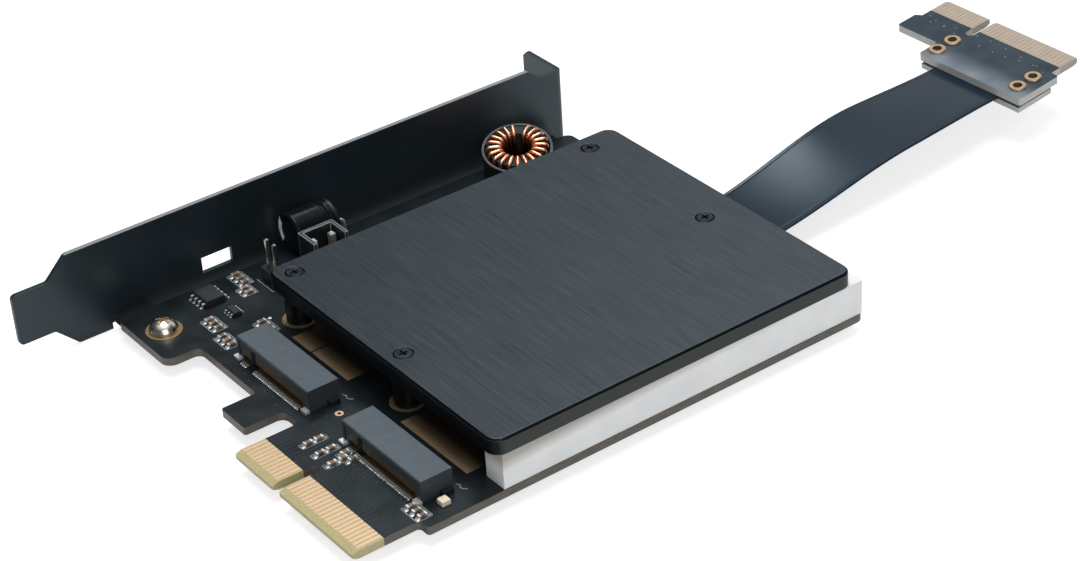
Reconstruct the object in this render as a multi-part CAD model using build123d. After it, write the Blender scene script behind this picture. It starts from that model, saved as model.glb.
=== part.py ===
"""Adapter card for two stick drives under a cover plate, with a second edge plug on a ribbon.

Millimetres. The origin is the middle of the edge connector's key slot, at the contact tips and
halfway through the board. X runs along the connector, away from the slot bracket. Y runs from the
contact tips into the card. Z points out of the component side.
"""
import os
from math import atan2, cos, degrees, hypot, pi, radians, sin
from build123d import *

os.makedirs("parts", exist_ok=True)

# Edge connector, the same on the card and on the ribbon's plug
board_t = 1.57
contact_pitch = 1.0
contact_w = 0.7
contact_start = 1.3
short_contacts = 11
long_contacts = 21
contact_margin = 0.825
key_w = 1.9
key_depth = 8.2
bevel_run = 1.2
bevel_rise = 0.45
mask_y = 6.2
plating_t = 0.05

# Main board outline
board_inset = 3.5
shoulder_w = 2.5
shoulder_y = 12.6
belly_y = 11.7
foot_y = 5.0
foot_w = 17.1
hook_y = 4.8
hook_w = 7.5
hook_gap = 4.8
relief_y = 12.5
corner_r = 1.6

# Slot bracket
sheet_t = 0.86
bend_r = 0.5
bracket_face = -64.1
bracket_w = 18.42
bracket_below = 2.07
bracket_over = 1.8
tongue_w = 10.19
tongue_tip = -12.3
taper_in = -5.4
taper_out = -1.25
tab_reach = 12.0
tab_drop = 2.5
tab_notch_w = 4.42
tab_notch_in = 5.2
tab_notch_deep = 4.8
ear_w = 7.4
ear_margin = 4.8
window_y = 27.75
window_len = 6.3
window_h = 3.2

# Screws that hold the bracket
bracket_screw_in = 11.6
bracket_screw_front = 4.7
bracket_screw_back = 5.0
bracket_screw_r = 1.4
bracket_head_r = 2.6
bracket_head_h = 2.1
bracket_pad_r = 3.3

# Cover plate, its spacers and screws
strip_w = 17.0
cover_gap = 6.75
cover_t = 3.0
cover_inset = 0.1
cover_clear = 4.6
cover_short = 2.5
cover_r = 2.6
cover_bevel = 0.4
cover_screw_in = 4.1
cover_screw_front = 3.6
cover_screw_back = 8.1
cover_screw_r = 1.2
cover_screw_down = 4.0
cover_head_r = 1.65
cover_head_h = 1.2
cover_head_proud = 0.1
spacer_r = 2.4
spacer_clear = 2.3
spacer_pad_r = 3.2
screw_play = 0.15

# Light bar
bar_w = 4.9
bar_start = 1.35
bar_short = 0.6
bar_groove_w = 2.6
bar_groove_h = 2.0
bar_end_wall = 1.5
led_w = 2.0
led_h = 0.8
led_count = 7

# Stick drive sockets and the posts at the other end of the bays
left_socket_x = -25.25
right_socket_x = 7.9
socket_w = 22.7
socket_front = 15.45
socket_depth = 6.2
socket_h = 4.2
slot_wall = 1.25
slot_low = 2.2
slot_high = 3.5
slot_depth = 4.0
socket_key_x = 6.1
tail_pitch = 0.5
tail_w = 0.26
tail_margin = 2.1
tail_reach = 0.9
recess_h = 1.3
recess_depth = 0.7
notch_w = 1.5
notch_depth = 1.2
notch_h = 3.4
end_slot_w = 0.5
mouth_flare = 0.3
drive_len = 80.0
drive_seat_play = 0.2
post_r = 2.75
post_h = 2.4
post_hole_r = 0.8
post_margin = 8.15

# Bare gold areas under the drives
heat_start = 3.85
heat_end = 2.1
heat_clear = 1.0
heat_split = 4.05
heat_split_w = 0.4
heat_left_w = 11.3
heat_right_w = 19.05

# Ring choke beside the bracket, leaning in a collar
choke_clear = 3.47
choke_gap = 2.03
choke_tilt = 14.0
choke_lean = -39.0
core_in = 3.4
core_out = 5.5
core_lift = 1.1
core_h = 5.0
wire_t = 0.7
wire_play = 0.05
turns = 20
turn_gap = 34.0
gap_dir = 136.0
choke_ring_play = 0.15
choke_ring_wall = 0.45
choke_ring_h = 5.6

# Lying electrolytic capacitor
can_clear = 0.9
can_start = 40.5
can_len = 9.0
can_r = 3.88
can_lift = 0.2
sleeve_t = 0.12
sleeve_lip_r = 2.6
sleeve_end = 0.9
can_groove = 2.3
lead_r = 0.3
lead_pitch = 2.5
lead_shift = 0.7
lead_out = 1.6

# Headers
pin_t = 0.64
pin_pitch = 2.54
pin_in = 9.8
pin_y = 33.0
pin_tip = 8.5
pin_base_h = 2.54
shroud_gap = 0.8
shroud_w = 5.5
shroud_start = 39.6
shroud_len = 7.3
shroud_h = 7.0
shroud_wall = 0.7
shroud_floor = 2.0
shroud_pin_t = 1.14
shroud_pin_pitch = 3.96
shroud_pin_tip = 6.0
shroud_pin_off = 0.4
tail_below = 1.3
joint_r = 1.0
joint_h = 0.8

# Chips and small parts
driver_in = 8.3
driver_y = 20.9
driver_size = (4.9, 3.9, 1.5)
driver_span = 6.0
driver_pitch = 1.27
switch_in = 15.2
switch_y = 21.9
switch_size = (2.9, 1.6, 1.0)
switch_span = 2.8
switch_pitch = 0.95
chip_len = 1.6
chip_w = 0.8
chip_h = 0.6
chip_end = 0.35
chip_step = 1.6
chip_clear = 0.15
chip_row_gap = 0.5
status_gap = 1.45
status_y = 18.2
status_w = 1.6
status_h = 0.9
test_ring_gap = 3.5
test_ring_y = 19.1
test_ring_in = 0.35
test_ring_out = 0.75

# Ribbon and the plug board it carries
ribbon_w = 17.2
ribbon_t = 0.6
ribbon_root_x = -12.0
ribbon_root_gap = 1.0
ribbon_root_end = 1.4
ribbon_arch = 1.0
ribbon_twist = 6.5
ribbon_inside = 9.0
plug_x = -27.3
plug_reach = 84.5
plug_z = 8.8
plug_yaw = 2.0
plug_tilt = 5.5
plug_ear_left = 1.3
plug_ear_right = 1.8
plug_wide_y = -13.8
plug_front_y = -19.0
plug_step_y = -7.9
plug_key_depth = 7.8
clamp_t = 1.1
clamp_depth = 9.4
eyelet_gap = 1.05
eyelet_side = 3.5
eyelet_neck = 2.0
eyelet_front = 3.2
eyelet_spacing = 4.4
eyelet_r = 1.2
eyelet_hole_r = 0.95
eyelet_flange_r = 1.8
eyelet_flange_t = 0.4

# Levels
top = board_t / 2
under = -board_t / 2
seat = top + plating_t
cover_under = top + cover_gap
cover_top = cover_under + cover_t

# Outlines along X and Y, each from the piece that it follows
short_run = (short_contacts - 1) * contact_pitch + 2 * contact_margin
long_run = (long_contacts - 1) * contact_pitch + 2 * contact_margin
edge_left = -key_w / 2 - short_run
edge_right = key_w / 2 + long_run
hook_right = edge_left - hook_gap
hook_left = hook_right - hook_w
board_left = bracket_face + board_inset
board_right = edge_right + shoulder_w
foot_right = board_left + foot_w
socket_xs = (left_socket_x, right_socket_x)
socket_back = socket_front + socket_depth
tail_front = socket_front - tail_reach
tail_count = round((socket_w - 2 * tail_margin) / tail_pitch)
post_y = socket_back - slot_depth + drive_seat_play + drive_len
board_back = post_y + post_margin
bracket_end = board_back + bracket_over
bracket_screw_x = bracket_face + bracket_screw_in
bracket_screw_ys = (foot_y + bracket_screw_front, board_back - bracket_screw_back)
cover_left = board_left + strip_w
cover_right = board_right - cover_inset
cover_front = socket_back + cover_clear
cover_back = board_back - cover_short
cover_screw_xs = (cover_left + cover_screw_in, right_socket_x - socket_w / 2 - spacer_clear)
cover_screw_ys = (cover_front + cover_screw_front, cover_back - cover_screw_back)
bar_front = cover_front + bar_start
bar_back = board_back - bar_short
base = (Align.CENTER, Align.CENTER, Align.MIN)
block = (Align.MIN, Align.MIN, Align.MIN)
parts = {}


def rounded(points):
    """Face inside a closed outline of (x, y, corner radius) points."""
    corners = [(x, y) for x, y, r in points]
    return make_face(FilletPolyline(corners, radius=[r for x, y, r in points], close=True))


def between(x, y, z):
    """Box between three pairs of limits."""
    return Pos(x[0], y[0], z[0]) * Box(x[1] - x[0], y[1] - y[0], z[1] - z[0], align=block)


def rod(x, y, z, r):
    """Upright round rod between two heights."""
    return Pos(x, y, z[0]) * Cylinder(r, z[1] - z[0], align=base)


def ring(x, y, z, outer, inner):
    """Upright tube between two heights."""
    return rod(x, y, z, outer) - rod(x, y, z, inner)


def square_pin(x, y, z, t):
    """Upright square pin between two heights."""
    return between((x - t / 2, x + t / 2), (y - t / 2, y + t / 2), z)


def bevel_cut(length, middle_x, side):
    """Wedge that thins one face of a board toward contact tips lying along y = 0."""
    wedge = Polyline((-0.1, 0.1), (bevel_run, 0.1), (bevel_run, 0), (-0.1, -bevel_rise), close=True)
    face = Plane.YZ.offset(middle_x - length / 2) * make_face(wedge)
    cut = Pos(0, 0, top) * extrude(face, length)
    return cut if side > 0 else mirror(cut, Plane.XY)


def contact_xs():
    """Middle of each contact along the connector."""
    first = edge_left + contact_margin
    second = key_w / 2 + contact_margin
    short = [first + i * contact_pitch for i in range(short_contacts)]
    return short + [second + i * contact_pitch for i in range(long_contacts)]


def contacts(start, end):
    """Gold contacts on both faces of a board whose tips lie along y = 0."""
    strips = []
    for x in contact_xs():
        strip = between((x - contact_w / 2, x + contact_w / 2), (start, end), (top, top + plating_t))
        strips.append(strip)
        strips.append(mirror(strip, Plane.XY))
    return strips


# Main board
outline = rounded([
    (board_left, foot_y, 1.0), (foot_right, foot_y, 2.2), (foot_right, belly_y, 1.4),
    (hook_left, belly_y, 0.6), (hook_left, hook_y, 0.5), (hook_right, hook_y, 0.5),
    (hook_right, relief_y, 1.6), (edge_left, relief_y, 1.6), (edge_left, 0, 0.4),
    (-key_w / 2, 0, 0.3), (-key_w / 2, key_depth, 0.9), (key_w / 2, key_depth, 0.9),
    (key_w / 2, 0, 0.3), (edge_right, 0, 0.4), (edge_right, shoulder_y, 0.8),
    (board_right, shoulder_y, 0.6), (board_right, board_back, corner_r), (board_left, board_back, corner_r),
])
board = extrude(Pos(0, 0, under) * outline, board_t)
edge_mid = (edge_left + edge_right) / 2
edge_len = edge_right - edge_left + 1
for side in (1, -1):
    board -= bevel_cut(edge_len, edge_mid, side)

through = (under - 1, top + 1)
for y in bracket_screw_ys:
    board -= rod(bracket_screw_x, y, through, bracket_screw_r + screw_play)
test_ring_x = left_socket_x + socket_w / 2 + test_ring_gap
board -= rod(test_ring_x, test_ring_y, through, test_ring_in)

pin_xs = [bracket_face + pin_in, bracket_face + pin_in + pin_pitch]
can_x = bracket_face + can_clear + sleeve_t + can_r
can_lead_y = can_start + can_len + lead_out
can_lead_xs = [can_x + lead_shift - lead_pitch / 2, can_x + lead_shift + lead_pitch / 2]
shroud_left = can_x + can_r + sleeve_t + shroud_gap
shroud_x = (shroud_left, shroud_left + shroud_w)
shroud_y = (shroud_start, shroud_start + shroud_len)
shroud_pin_x = shroud_left + shroud_w / 2 - shroud_pin_off
shroud_mid_y = shroud_start + shroud_len / 2
shroud_pin_ys = [shroud_mid_y - shroud_pin_pitch / 2, shroud_mid_y + shroud_pin_pitch / 2]

wire_in = core_in - wire_t - wire_play
wire_out = core_out + wire_t
middle_in = wire_in + wire_t / 2
middle_out = wire_out - wire_t / 2
wire_low = core_lift - wire_t
wire_high = core_lift + core_h + wire_t
choke_ring_in = wire_out + choke_ring_play
choke_ring_r = choke_ring_in + choke_ring_wall
choke_x = bracket_face + choke_clear + choke_ring_r
choke_y = bracket_screw_ys[1] - bracket_pad_r - choke_gap - choke_ring_r
first_turn = radians(gap_dir + turn_gap / 2)
last_turn = radians(gap_dir - turn_gap / 2)
choke_edge = Pos(choke_x, choke_y, top) * Rot(0, 0, choke_lean) * Pos(choke_ring_r, 0, 0)
choke_place = choke_edge * Rot(0, choke_tilt, 0) * Pos(-choke_ring_r, 0, 0) * Rot(0, 0, -choke_lean)
lead_z = wire_low + wire_t / 2
choke_leads = [
    (choke_place * Pos(middle_in * cos(first_turn), middle_in * sin(first_turn), lead_z)).position,
    (choke_place * Pos(middle_out * cos(last_turn), middle_out * sin(last_turn), lead_z)).position,
]
for x in pin_xs:
    board -= square_pin(x, pin_y, through, pin_t)
for y in shroud_pin_ys:
    board -= square_pin(shroud_pin_x, y, through, shroud_pin_t)
for x in can_lead_xs:
    board -= rod(x, can_lead_y, through, lead_r)
for spot in choke_leads:
    board -= rod(spot.X, spot.Y, through, wire_t / 2)
parts["main_board"] = board
parts["edge_contacts"] = contacts(contact_start, mask_y - 0.3)

# Slot bracket: a flat sheet, a bent tab at its far end and two ears under the board
low = under - bracket_below
high = low + bracket_w
tongue_low = low + (bracket_w - tongue_w) / 2
tongue_high = tongue_low + tongue_w
tab_low = low + 1.0
tab_high = high - tab_drop
flat_end = bracket_end - 4
ear_under = under - sheet_t
ear_tip = bracket_screw_x + ear_margin
sheet = rounded([
    (tongue_tip, tongue_low, 0.9), (taper_in, tongue_low, 0.8), (taper_out, low, 0.8),
    (flat_end - 3, low, 0.6), (flat_end - 1.5, tab_low, 0.6), (flat_end, tab_low, 0),
    (flat_end, tab_high, 0),
    (flat_end - 1.4, tab_high, 0.6), (flat_end - 4.4, high, 0.8), (taper_out, high, 0.8),
    (taper_in, tongue_high, 0.8), (tongue_tip, tongue_high, 0.9),
])
bracket = extrude(Plane.YZ.offset(bracket_face - sheet_t) * sheet, sheet_t)
back_face = bracket_face - sheet_t
bend = rounded([
    (bracket_face, flat_end, 0), (bracket_face, bracket_end, bend_r + sheet_t),
    (bracket_face - tab_reach, bracket_end, 0), (bracket_face - tab_reach, bracket_end - sheet_t, 0),
    (back_face, bracket_end - sheet_t, bend_r), (back_face, flat_end, 0),
])
tab = extrude(Pos(0, 0, tab_low) * bend, tab_high - tab_low)
for z in (tab_low, tab_high):
    tip = Pos(bracket_face - tab_reach, bracket_end - sheet_t / 2, z)
    tab -= tip * Rot(0, 45, 0) * Box(1.6, 4, 1.6)
notch_x = bracket_face - tab_reach + tab_notch_in
notch_top = tab_low + tab_notch_deep
notch_sides = (notch_x - tab_notch_w / 2, notch_x + tab_notch_w / 2)
tab -= between(notch_sides, (bracket_end - 2, bracket_end + 1), (tab_low - 1, notch_top))
tab -= Pos(notch_x, bracket_end, notch_top) * Rot(90, 0, 0) * Cylinder(tab_notch_w / 2, 4)
bracket += tab
window_low = top + 0.05
sheet_x = (back_face - 1, bracket_face + 1)
window_sides = (window_y - window_len / 2, window_y + window_len / 2)
bracket -= between(sheet_x, window_sides, (window_low, window_low + window_h))
for y in bracket_screw_ys:
    ear_y = (y - ear_w / 2, y + ear_w / 2)
    bracket -= between(sheet_x, (ear_y[0] - 0.5, ear_y[1] + 0.5), (low - 1, ear_under))
    bracket -= between(sheet_x, ear_y, (low - 1, top))
    angle = rounded([
        (back_face, top, 0), (back_face, ear_under, bend_r + sheet_t), (ear_tip, ear_under, 0),
        (ear_tip, under, 0), (bracket_face, under, bend_r), (bracket_face, top, 0),
    ])
    ear = extrude(Plane.XZ.offset(-ear_y[1]) * angle, ear_w)
    tips = ear.edges().filter_by(Axis.Z).sort_by(Axis.X)[-2:]
    ear = fillet(tips, 2.4)
    ear -= rod(bracket_screw_x, y, (ear_under - 1, under + 1), bracket_screw_r)
    bracket += ear
parts["slot_bracket"] = bracket

# Bracket screws on gold rings
heads = []
rings = []
for y in bracket_screw_ys:
    dome = make_face([
        Line((0, 0), (bracket_head_r, 0)), Line((bracket_head_r, 0), (bracket_head_r, 0.5)),
        ThreePointArc(
            (bracket_head_r, 0.5), (bracket_head_r * 0.62, bracket_head_h * 0.82), (0, bracket_head_h)
        ),
        Line((0, bracket_head_h), (0, 0)),
    ])
    head = revolve(Plane.XZ * dome, Axis.Z)
    for turn in (20, 110):
        head -= Pos(0, 0, bracket_head_h) * Rot(0, 0, turn) * Box(2.8, 0.7, 1.6)
    screw = Pos(bracket_screw_x, y, seat) * head
    screw += rod(bracket_screw_x, y, (ear_under - 0.6, seat + 0.1), bracket_screw_r)
    heads.append(screw)
    rings.append(ring(bracket_screw_x, y, (top, seat), bracket_pad_r, bracket_screw_r + 0.4))
parts["bracket_screws"] = heads
parts["bracket_pads"] = rings

# Cover plate over the drive bays
cover_mid = ((cover_left + cover_right) / 2, (cover_front + cover_back) / 2)
plan = RectangleRounded(cover_right - cover_left, cover_back - cover_front, cover_r)
cover = extrude(Pos(*cover_mid, cover_under) * plan, cover_t)
cover = chamfer(cover.edges().group_by(Axis.Z)[-1], cover_bevel)
head_seat = cover_top - cover_head_h
head_top = cover_top + cover_head_proud
spacers = []
spacer_pads = []
cover_screws = []
for x in cover_screw_xs:
    for y in cover_screw_ys:
        cover -= rod(x, y, (cover_under - 1, cover_top + 1), cover_screw_r + screw_play)
        spacers.append(ring(x, y, (seat, cover_under), spacer_r, cover_screw_r))
        spacer_pads.append(ring(x, y, (top, seat), spacer_pad_r, cover_screw_r))
        cover -= rod(x, y, (head_seat, cover_top + 1), cover_head_r + screw_play)
        head = rod(x, y, (head_seat, head_top), cover_head_r)
        head = chamfer(head.edges().group_by(Axis.Z)[-1], 0.2)
        for turn in (0, 90):
            head -= Pos(x, y, head_top) * Rot(0, 0, turn) * Box(1.6, 0.4, 0.9)
        shank = rod(x, y, (cover_under - cover_screw_down, head_seat + 0.1), cover_screw_r)
        cover_screws.append(head + shank)
parts["cover_plate"] = cover
parts["cover_screws"] = cover_screws
parts["cover_spacers"] = spacers
parts["spacer_pads"] = spacer_pads

# Light bar held between the board and the cover plate
bar = between((cover_right - bar_w, cover_right), (bar_front, bar_back), (top, cover_under))
bar_mid = cover_right - bar_w / 2
groove = (bar_mid - bar_groove_w / 2, bar_mid + bar_groove_w / 2)
groove_y = (bar_front + bar_end_wall, bar_back - bar_end_wall)
bar -= between(groove, groove_y, (top - 1, top + bar_groove_h))
led_step = (bar_back - bar_front) / led_count
leds = []
for i in range(led_count):
    y = bar_front + led_step * (i + 0.5)
    leds.append(Pos(bar_mid, y, top) * Box(led_w, led_w, led_h, align=base))
parts["light_bar"] = bar
parts["bar_leds"] = leds

# Stick drive sockets
hold_downs = []
for name, x in zip(("left", "right"), socket_xs):
    ends = (x - socket_w / 2, x + socket_w / 2)
    housing = between(ends, (socket_front, socket_back), (top, top + socket_h))
    housing = chamfer(housing.edges().group_by(Axis.Z)[-1].sort_by(Axis.Y)[:1], 0.2)
    slot = (ends[0] + slot_wall, ends[1] - slot_wall)
    mouth_z = (top + slot_low, top + slot_high)
    housing -= between(slot, (socket_back - slot_depth, socket_back + 1), mouth_z)
    flare_z = (mouth_z[0] - mouth_flare, mouth_z[1] + mouth_flare)
    housing -= between(slot, (socket_back - 2 * mouth_flare, socket_back + 1), flare_z)
    key_x = x - socket_key_x
    key = (key_x - 0.5, key_x + 0.5)
    key_z = (mouth_z[0] - 0.1, mouth_z[1] + 0.1)
    housing += between(key, (socket_back - slot_depth, socket_back - 0.4), key_z)
    recess_z = (top - 1, top + recess_h)
    half_row = (tail_count - 1) * tail_pitch / 2
    recess_x = (x - half_row - 0.5, x + half_row + 0.5)
    housing -= between(recess_x, (socket_front - 1, socket_front + recess_depth), recess_z)
    notch_y = (socket_front - 1, socket_front + notch_depth)
    notch_z = (top - 1, top + notch_h)
    housing -= between((key_x - notch_w / 2, key_x + notch_w / 2), notch_y, notch_z)
    housing -= between((ends[0] + end_slot_w, ends[0] + 2 * end_slot_w), notch_y, notch_z)
    back_y = socket_front + recess_depth
    tails = []
    for i in range(tail_count):
        tail_x = x - half_row + i * tail_pitch
        if abs(tail_x - key_x) < notch_w / 2 + tail_w:
            continue
        foot = Polyline(
            (tail_front, top), (back_y, top), (back_y, top + recess_h), (back_y - 0.2, top + recess_h),
            (back_y - 0.2, top + 0.2), (tail_front, top + 0.2), close=True,
        )
        face = Plane.YZ.offset(tail_x - tail_w / 2) * make_face(foot)
        tails.append(extrude(face, tail_w))
    for side in (-1, 1):
        tab_x = x + side * (socket_w / 2 - 0.6)
        foot = between((tab_x - 0.8, tab_x + 0.8), (socket_front - 0.9, socket_front), (top, top + 0.5))
        wing_x = x + side * (socket_w / 2 + 0.5)
        wing_y = (socket_back - 2.6, socket_back - 0.6)
        wing = between((wing_x - 0.5, wing_x + 0.5), wing_y, (top, top + 0.9))
        hold_downs += [foot, wing]
    parts["drive_socket_" + name] = housing
    parts["socket_contacts_" + name] = tails
parts["socket_hold_downs"] = hold_downs

# Posts that hold the drives' far ends, and bare gold under the drives
parts["drive_posts"] = [ring(x, post_y, (top, top + post_h), post_r, post_hole_r) for x in socket_xs]
heat_y = (socket_back + heat_start, post_y - post_r - heat_end)
heat_lefts = [x + spacer_pad_r + heat_clear for x in cover_screw_xs]
heat_mid = left_socket_x - heat_split
heat_xs = (
    (heat_lefts[0], heat_mid), (heat_mid + heat_split_w, heat_mid + heat_split_w + heat_left_w),
    (heat_lefts[1], heat_lefts[1] + heat_right_w),
)
parts["heat_pads"] = [between(x, heat_y, (top, seat)) for x in heat_xs]

# Ring choke: core, one square wire wound round it, and a thin collar cut flat where it stands on the board
parts["choke_core"] = choke_place * ring(0, 0, (core_lift, core_lift + core_h), core_out, core_in)
turn_step = (360 - turn_gap) / (turns - 1)
half = wire_t / 2
wire = None
for i in range(turns):
    spoke = Rot(0, 0, gap_dir + turn_gap / 2 + i * turn_step)
    turn = between((wire_in, wire_out), (-half, half), (wire_high - wire_t, wire_high))
    turn += between((wire_out - wire_t, wire_out), (-half, half), (wire_low, wire_high))
    turn += between((wire_in, wire_in + wire_t), (-half, half), (wire_low, wire_high))
    if i < turns - 1:
        next_x = middle_in * cos(radians(turn_step))
        next_y = middle_in * sin(radians(turn_step))
        lean = degrees(atan2(next_y, next_x - middle_out))
        length = hypot(next_x - middle_out, next_y)
        bar = between((-half, length + half), (-half, half), (wire_low, wire_low + wire_t))
        turn += Pos(middle_out, 0, 0) * Rot(0, 0, lean) * bar
    wire = spoke * turn if wire is None else wire + spoke * turn
winding = choke_place * wire
for spot in choke_leads:
    winding += rod(spot.X, spot.Y, (under - tail_below, spot.Z), wire_t / 2)
parts["choke_winding"] = winding
collar = choke_place * ring(0, 0, (-choke_ring_h, choke_ring_h), choke_ring_r, choke_ring_in)
collar_x = (choke_x - 2 * choke_ring_r, choke_x + 2 * choke_ring_r)
collar_y = (choke_y - 2 * choke_ring_r, choke_y + 2 * choke_ring_r)
parts["choke_ring"] = collar - between(collar_x, collar_y, (top - 3 * choke_ring_h, top))

# Lying capacitor: can with a rolled groove, sleeve and two bent leads
groove_at = can_len - can_groove
profile = rounded([
    (0, 0, 0), (can_r, 0, 0.5), (can_r, groove_at - 0.5, 0.2), (can_r - 0.4, groove_at, 0.2),
    (can_r, groove_at + 0.5, 0.2), (can_r, can_len, 0.4), (0, can_len, 0),
])
can = revolve(Plane.XY * profile, Axis.Y)
can_mid = top + can_lift + sleeve_t + can_r
can_axis = Pos(can_x, can_start, can_mid)
parts["capacitor_can"] = can_axis * can
sleeve_r = can_r + sleeve_t
sleeve_back = can_len - sleeve_end
wrap = rounded([
    (sleeve_lip_r, -sleeve_t, 0), (sleeve_r, -sleeve_t, 0.5 + sleeve_t), (sleeve_r, groove_at - 0.5, 0.2),
    (sleeve_r - 0.4, groove_at, 0.2), (sleeve_r, groove_at + 0.5, 0.2), (sleeve_r, sleeve_back, 0),
    (sleeve_lip_r, sleeve_back, 0),
])
parts["capacitor_sleeve"] = can_axis * (revolve(Plane.XY * wrap, Axis.Y) - can)
leads = []
for x in can_lead_xs:
    lead_start = (x, can_start + can_len, can_mid)
    lead_tip = (x, can_lead_y, under - tail_below)
    path = FilletPolyline(lead_start, (x, can_lead_y, can_mid), lead_tip, radius=[1.0])
    section = Plane(origin=lead_start, z_dir=(0, 1, 0)) * Circle(lead_r)
    leads.append(sweep(section, path))
parts["capacitor_leads"] = leads

# Two-pin header
pin_ends = (under - tail_below, top + pin_tip)
header = between(
    (pin_xs[0] - pin_pitch / 2, pin_xs[1] + pin_pitch / 2),
    (pin_y - pin_pitch / 2, pin_y + pin_pitch / 2), (top, top + pin_base_h),
)
header = chamfer(header.edges().filter_by(Axis.Z), 0.4)
pins = []
for x in pin_xs:
    header -= square_pin(x, pin_y, pin_ends, pin_t)
    pin = square_pin(x, pin_y, pin_ends, pin_t)
    pins.append(chamfer(pin.edges().group_by(Axis.Z)[-1], 0.18))
parts["pin_header"] = header
parts["header_pins"] = pins

# Shrouded header, open toward the cover plate
shroud = between(shroud_x, shroud_y, (top, top + shroud_h))
cavity_x = (shroud_x[0] + shroud_wall, shroud_x[1] + 1)
cavity_y = (shroud_y[0] + shroud_wall, shroud_y[1] - shroud_wall)
shroud -= between(cavity_x, cavity_y, (top + shroud_floor, top + shroud_h + 1))
shroud_ends = (under - tail_below, top + shroud_pin_tip)
shroud_pins = []
for y in shroud_pin_ys:
    shroud -= square_pin(shroud_pin_x, y, shroud_ends, shroud_pin_t)
    pin = square_pin(shroud_pin_x, y, shroud_ends, shroud_pin_t)
    shroud_pins.append(chamfer(pin.edges().group_by(Axis.Z)[-1], 0.3))
parts["shrouded_header"] = shroud
parts["shroud_pins"] = shroud_pins

# Solder cones under the through-hole leads
joints = []
cone = Pos(0, 0, under) * Rot(180, 0, 0) * Cone(joint_r, joint_r * 0.62, joint_h, align=base)
for x in pin_xs:
    joints.append(Pos(x, pin_y, 0) * cone - square_pin(x, pin_y, pin_ends, pin_t))
for y in shroud_pin_ys:
    wide_cone = Pos(shroud_pin_x, y, 0) * scale(cone, (1.4, 1.4, 1))
    joints.append(wide_cone - square_pin(shroud_pin_x, y, pin_ends, shroud_pin_t))
for x in can_lead_xs:
    joints.append(Pos(x, can_lead_y, 0) * cone - rod(x, can_lead_y, pin_ends, lead_r))
for spot in choke_leads:
    joints.append(Pos(spot.X, spot.Y, 0) * cone - rod(spot.X, spot.Y, pin_ends, wire_t / 2))
parts["solder_joints"] = joints


def gull_leads(x, y, size, span, pitch, count):
    """Bent leads on both long sides of a chip body."""
    reach = (span - size[1]) / 2
    shape = Polyline(
        (0, size[2] * 0.45), (0, size[2] * 0.6), (reach * 0.55, size[2] * 0.6), (reach * 0.7, 0.18),
        (reach, 0.18), (reach, 0), (reach * 0.55, 0), (reach * 0.4, size[2] * 0.45), close=True,
    )
    lead = extrude(Plane.YZ.offset(-pitch * 0.17) * make_face(shape), pitch * 0.34)
    leads = []
    for i in range(count):
        lead_x = x + (i - (count - 1) / 2) * pitch
        leads.append(Pos(lead_x, y + size[1] / 2, top) * lead)
        leads.append(Pos(lead_x, y - size[1] / 2, top) * Rot(0, 0, 180) * lead)
    return leads


def chip_body(x, y, size):
    """Moulded chip body held just off the board, with a chamfered top."""
    body = Pos(x, y, top + 0.1) * Box(size[0], size[1], size[2] - 0.1, align=base)
    return chamfer(body.edges().group_by(Axis.Z)[-1], 0.2)


# Two leaded chips
driver_x = bracket_face + driver_in
switch_x = bracket_face + switch_in
parts["driver_chip"] = chip_body(driver_x, driver_y, driver_size)
parts["driver_leads"] = gull_leads(driver_x, driver_y, driver_size, driver_span, driver_pitch, 4)
parts["switch_chip"] = chip_body(switch_x, switch_y, switch_size)
parts["switch_leads"] = gull_leads(switch_x, switch_y, switch_size, switch_span, switch_pitch, 3)

# Small two-ended chips, in groups beside the pieces that they serve
chips = []
ends = []
before_tails = tail_front - chip_clear - chip_len / 2


def chip_group(x, y, step, columns, rows=1):
    """Rows of chips that lie along Y, from the middle of the first one."""
    body_len = chip_len - 2 * chip_end
    for i in range(columns):
        for j in range(rows):
            spot = Pos(x + i * step, y + j * (chip_len + chip_row_gap), top)
            chips.append(spot * Box(chip_w, body_len, chip_h, align=base))
            for side in (-1, 1):
                middle = Pos(0, side * (chip_len - chip_end) / 2, 0)
                ends.append(spot * middle * Box(chip_w, chip_end, chip_h, align=base))


chip_group(switch_x - 0.7, switch_y - 4.7, chip_step, 3)
chip_group(switch_x + 5.5, switch_y - 5.7, chip_step, 3)
chip_group(driver_x - 3.6, driver_y + 7.7, chip_step, 3)
chip_group(driver_x + 1.4, driver_y + 6.5, chip_step, 2)
chip_group(edge_left + 6.2, mask_y + 4.2, 3.65, 3, 2)
chip_group(right_socket_x - 8.1, before_tails, 2.3, 2)
chip_group(right_socket_x + socket_w / 2 - 0.35, before_tails, chip_step, 3)
parts["small_chips"] = chips
parts["chip_ends"] = ends
status_x = right_socket_x + socket_w / 2 + status_gap + status_w / 2
parts["status_light"] = Pos(status_x, status_y, top) * Box(status_w, status_w, status_h, align=base)
parts["test_ring"] = ring(test_ring_x, test_ring_y, (top, seat), test_ring_out, test_ring_in)

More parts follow.
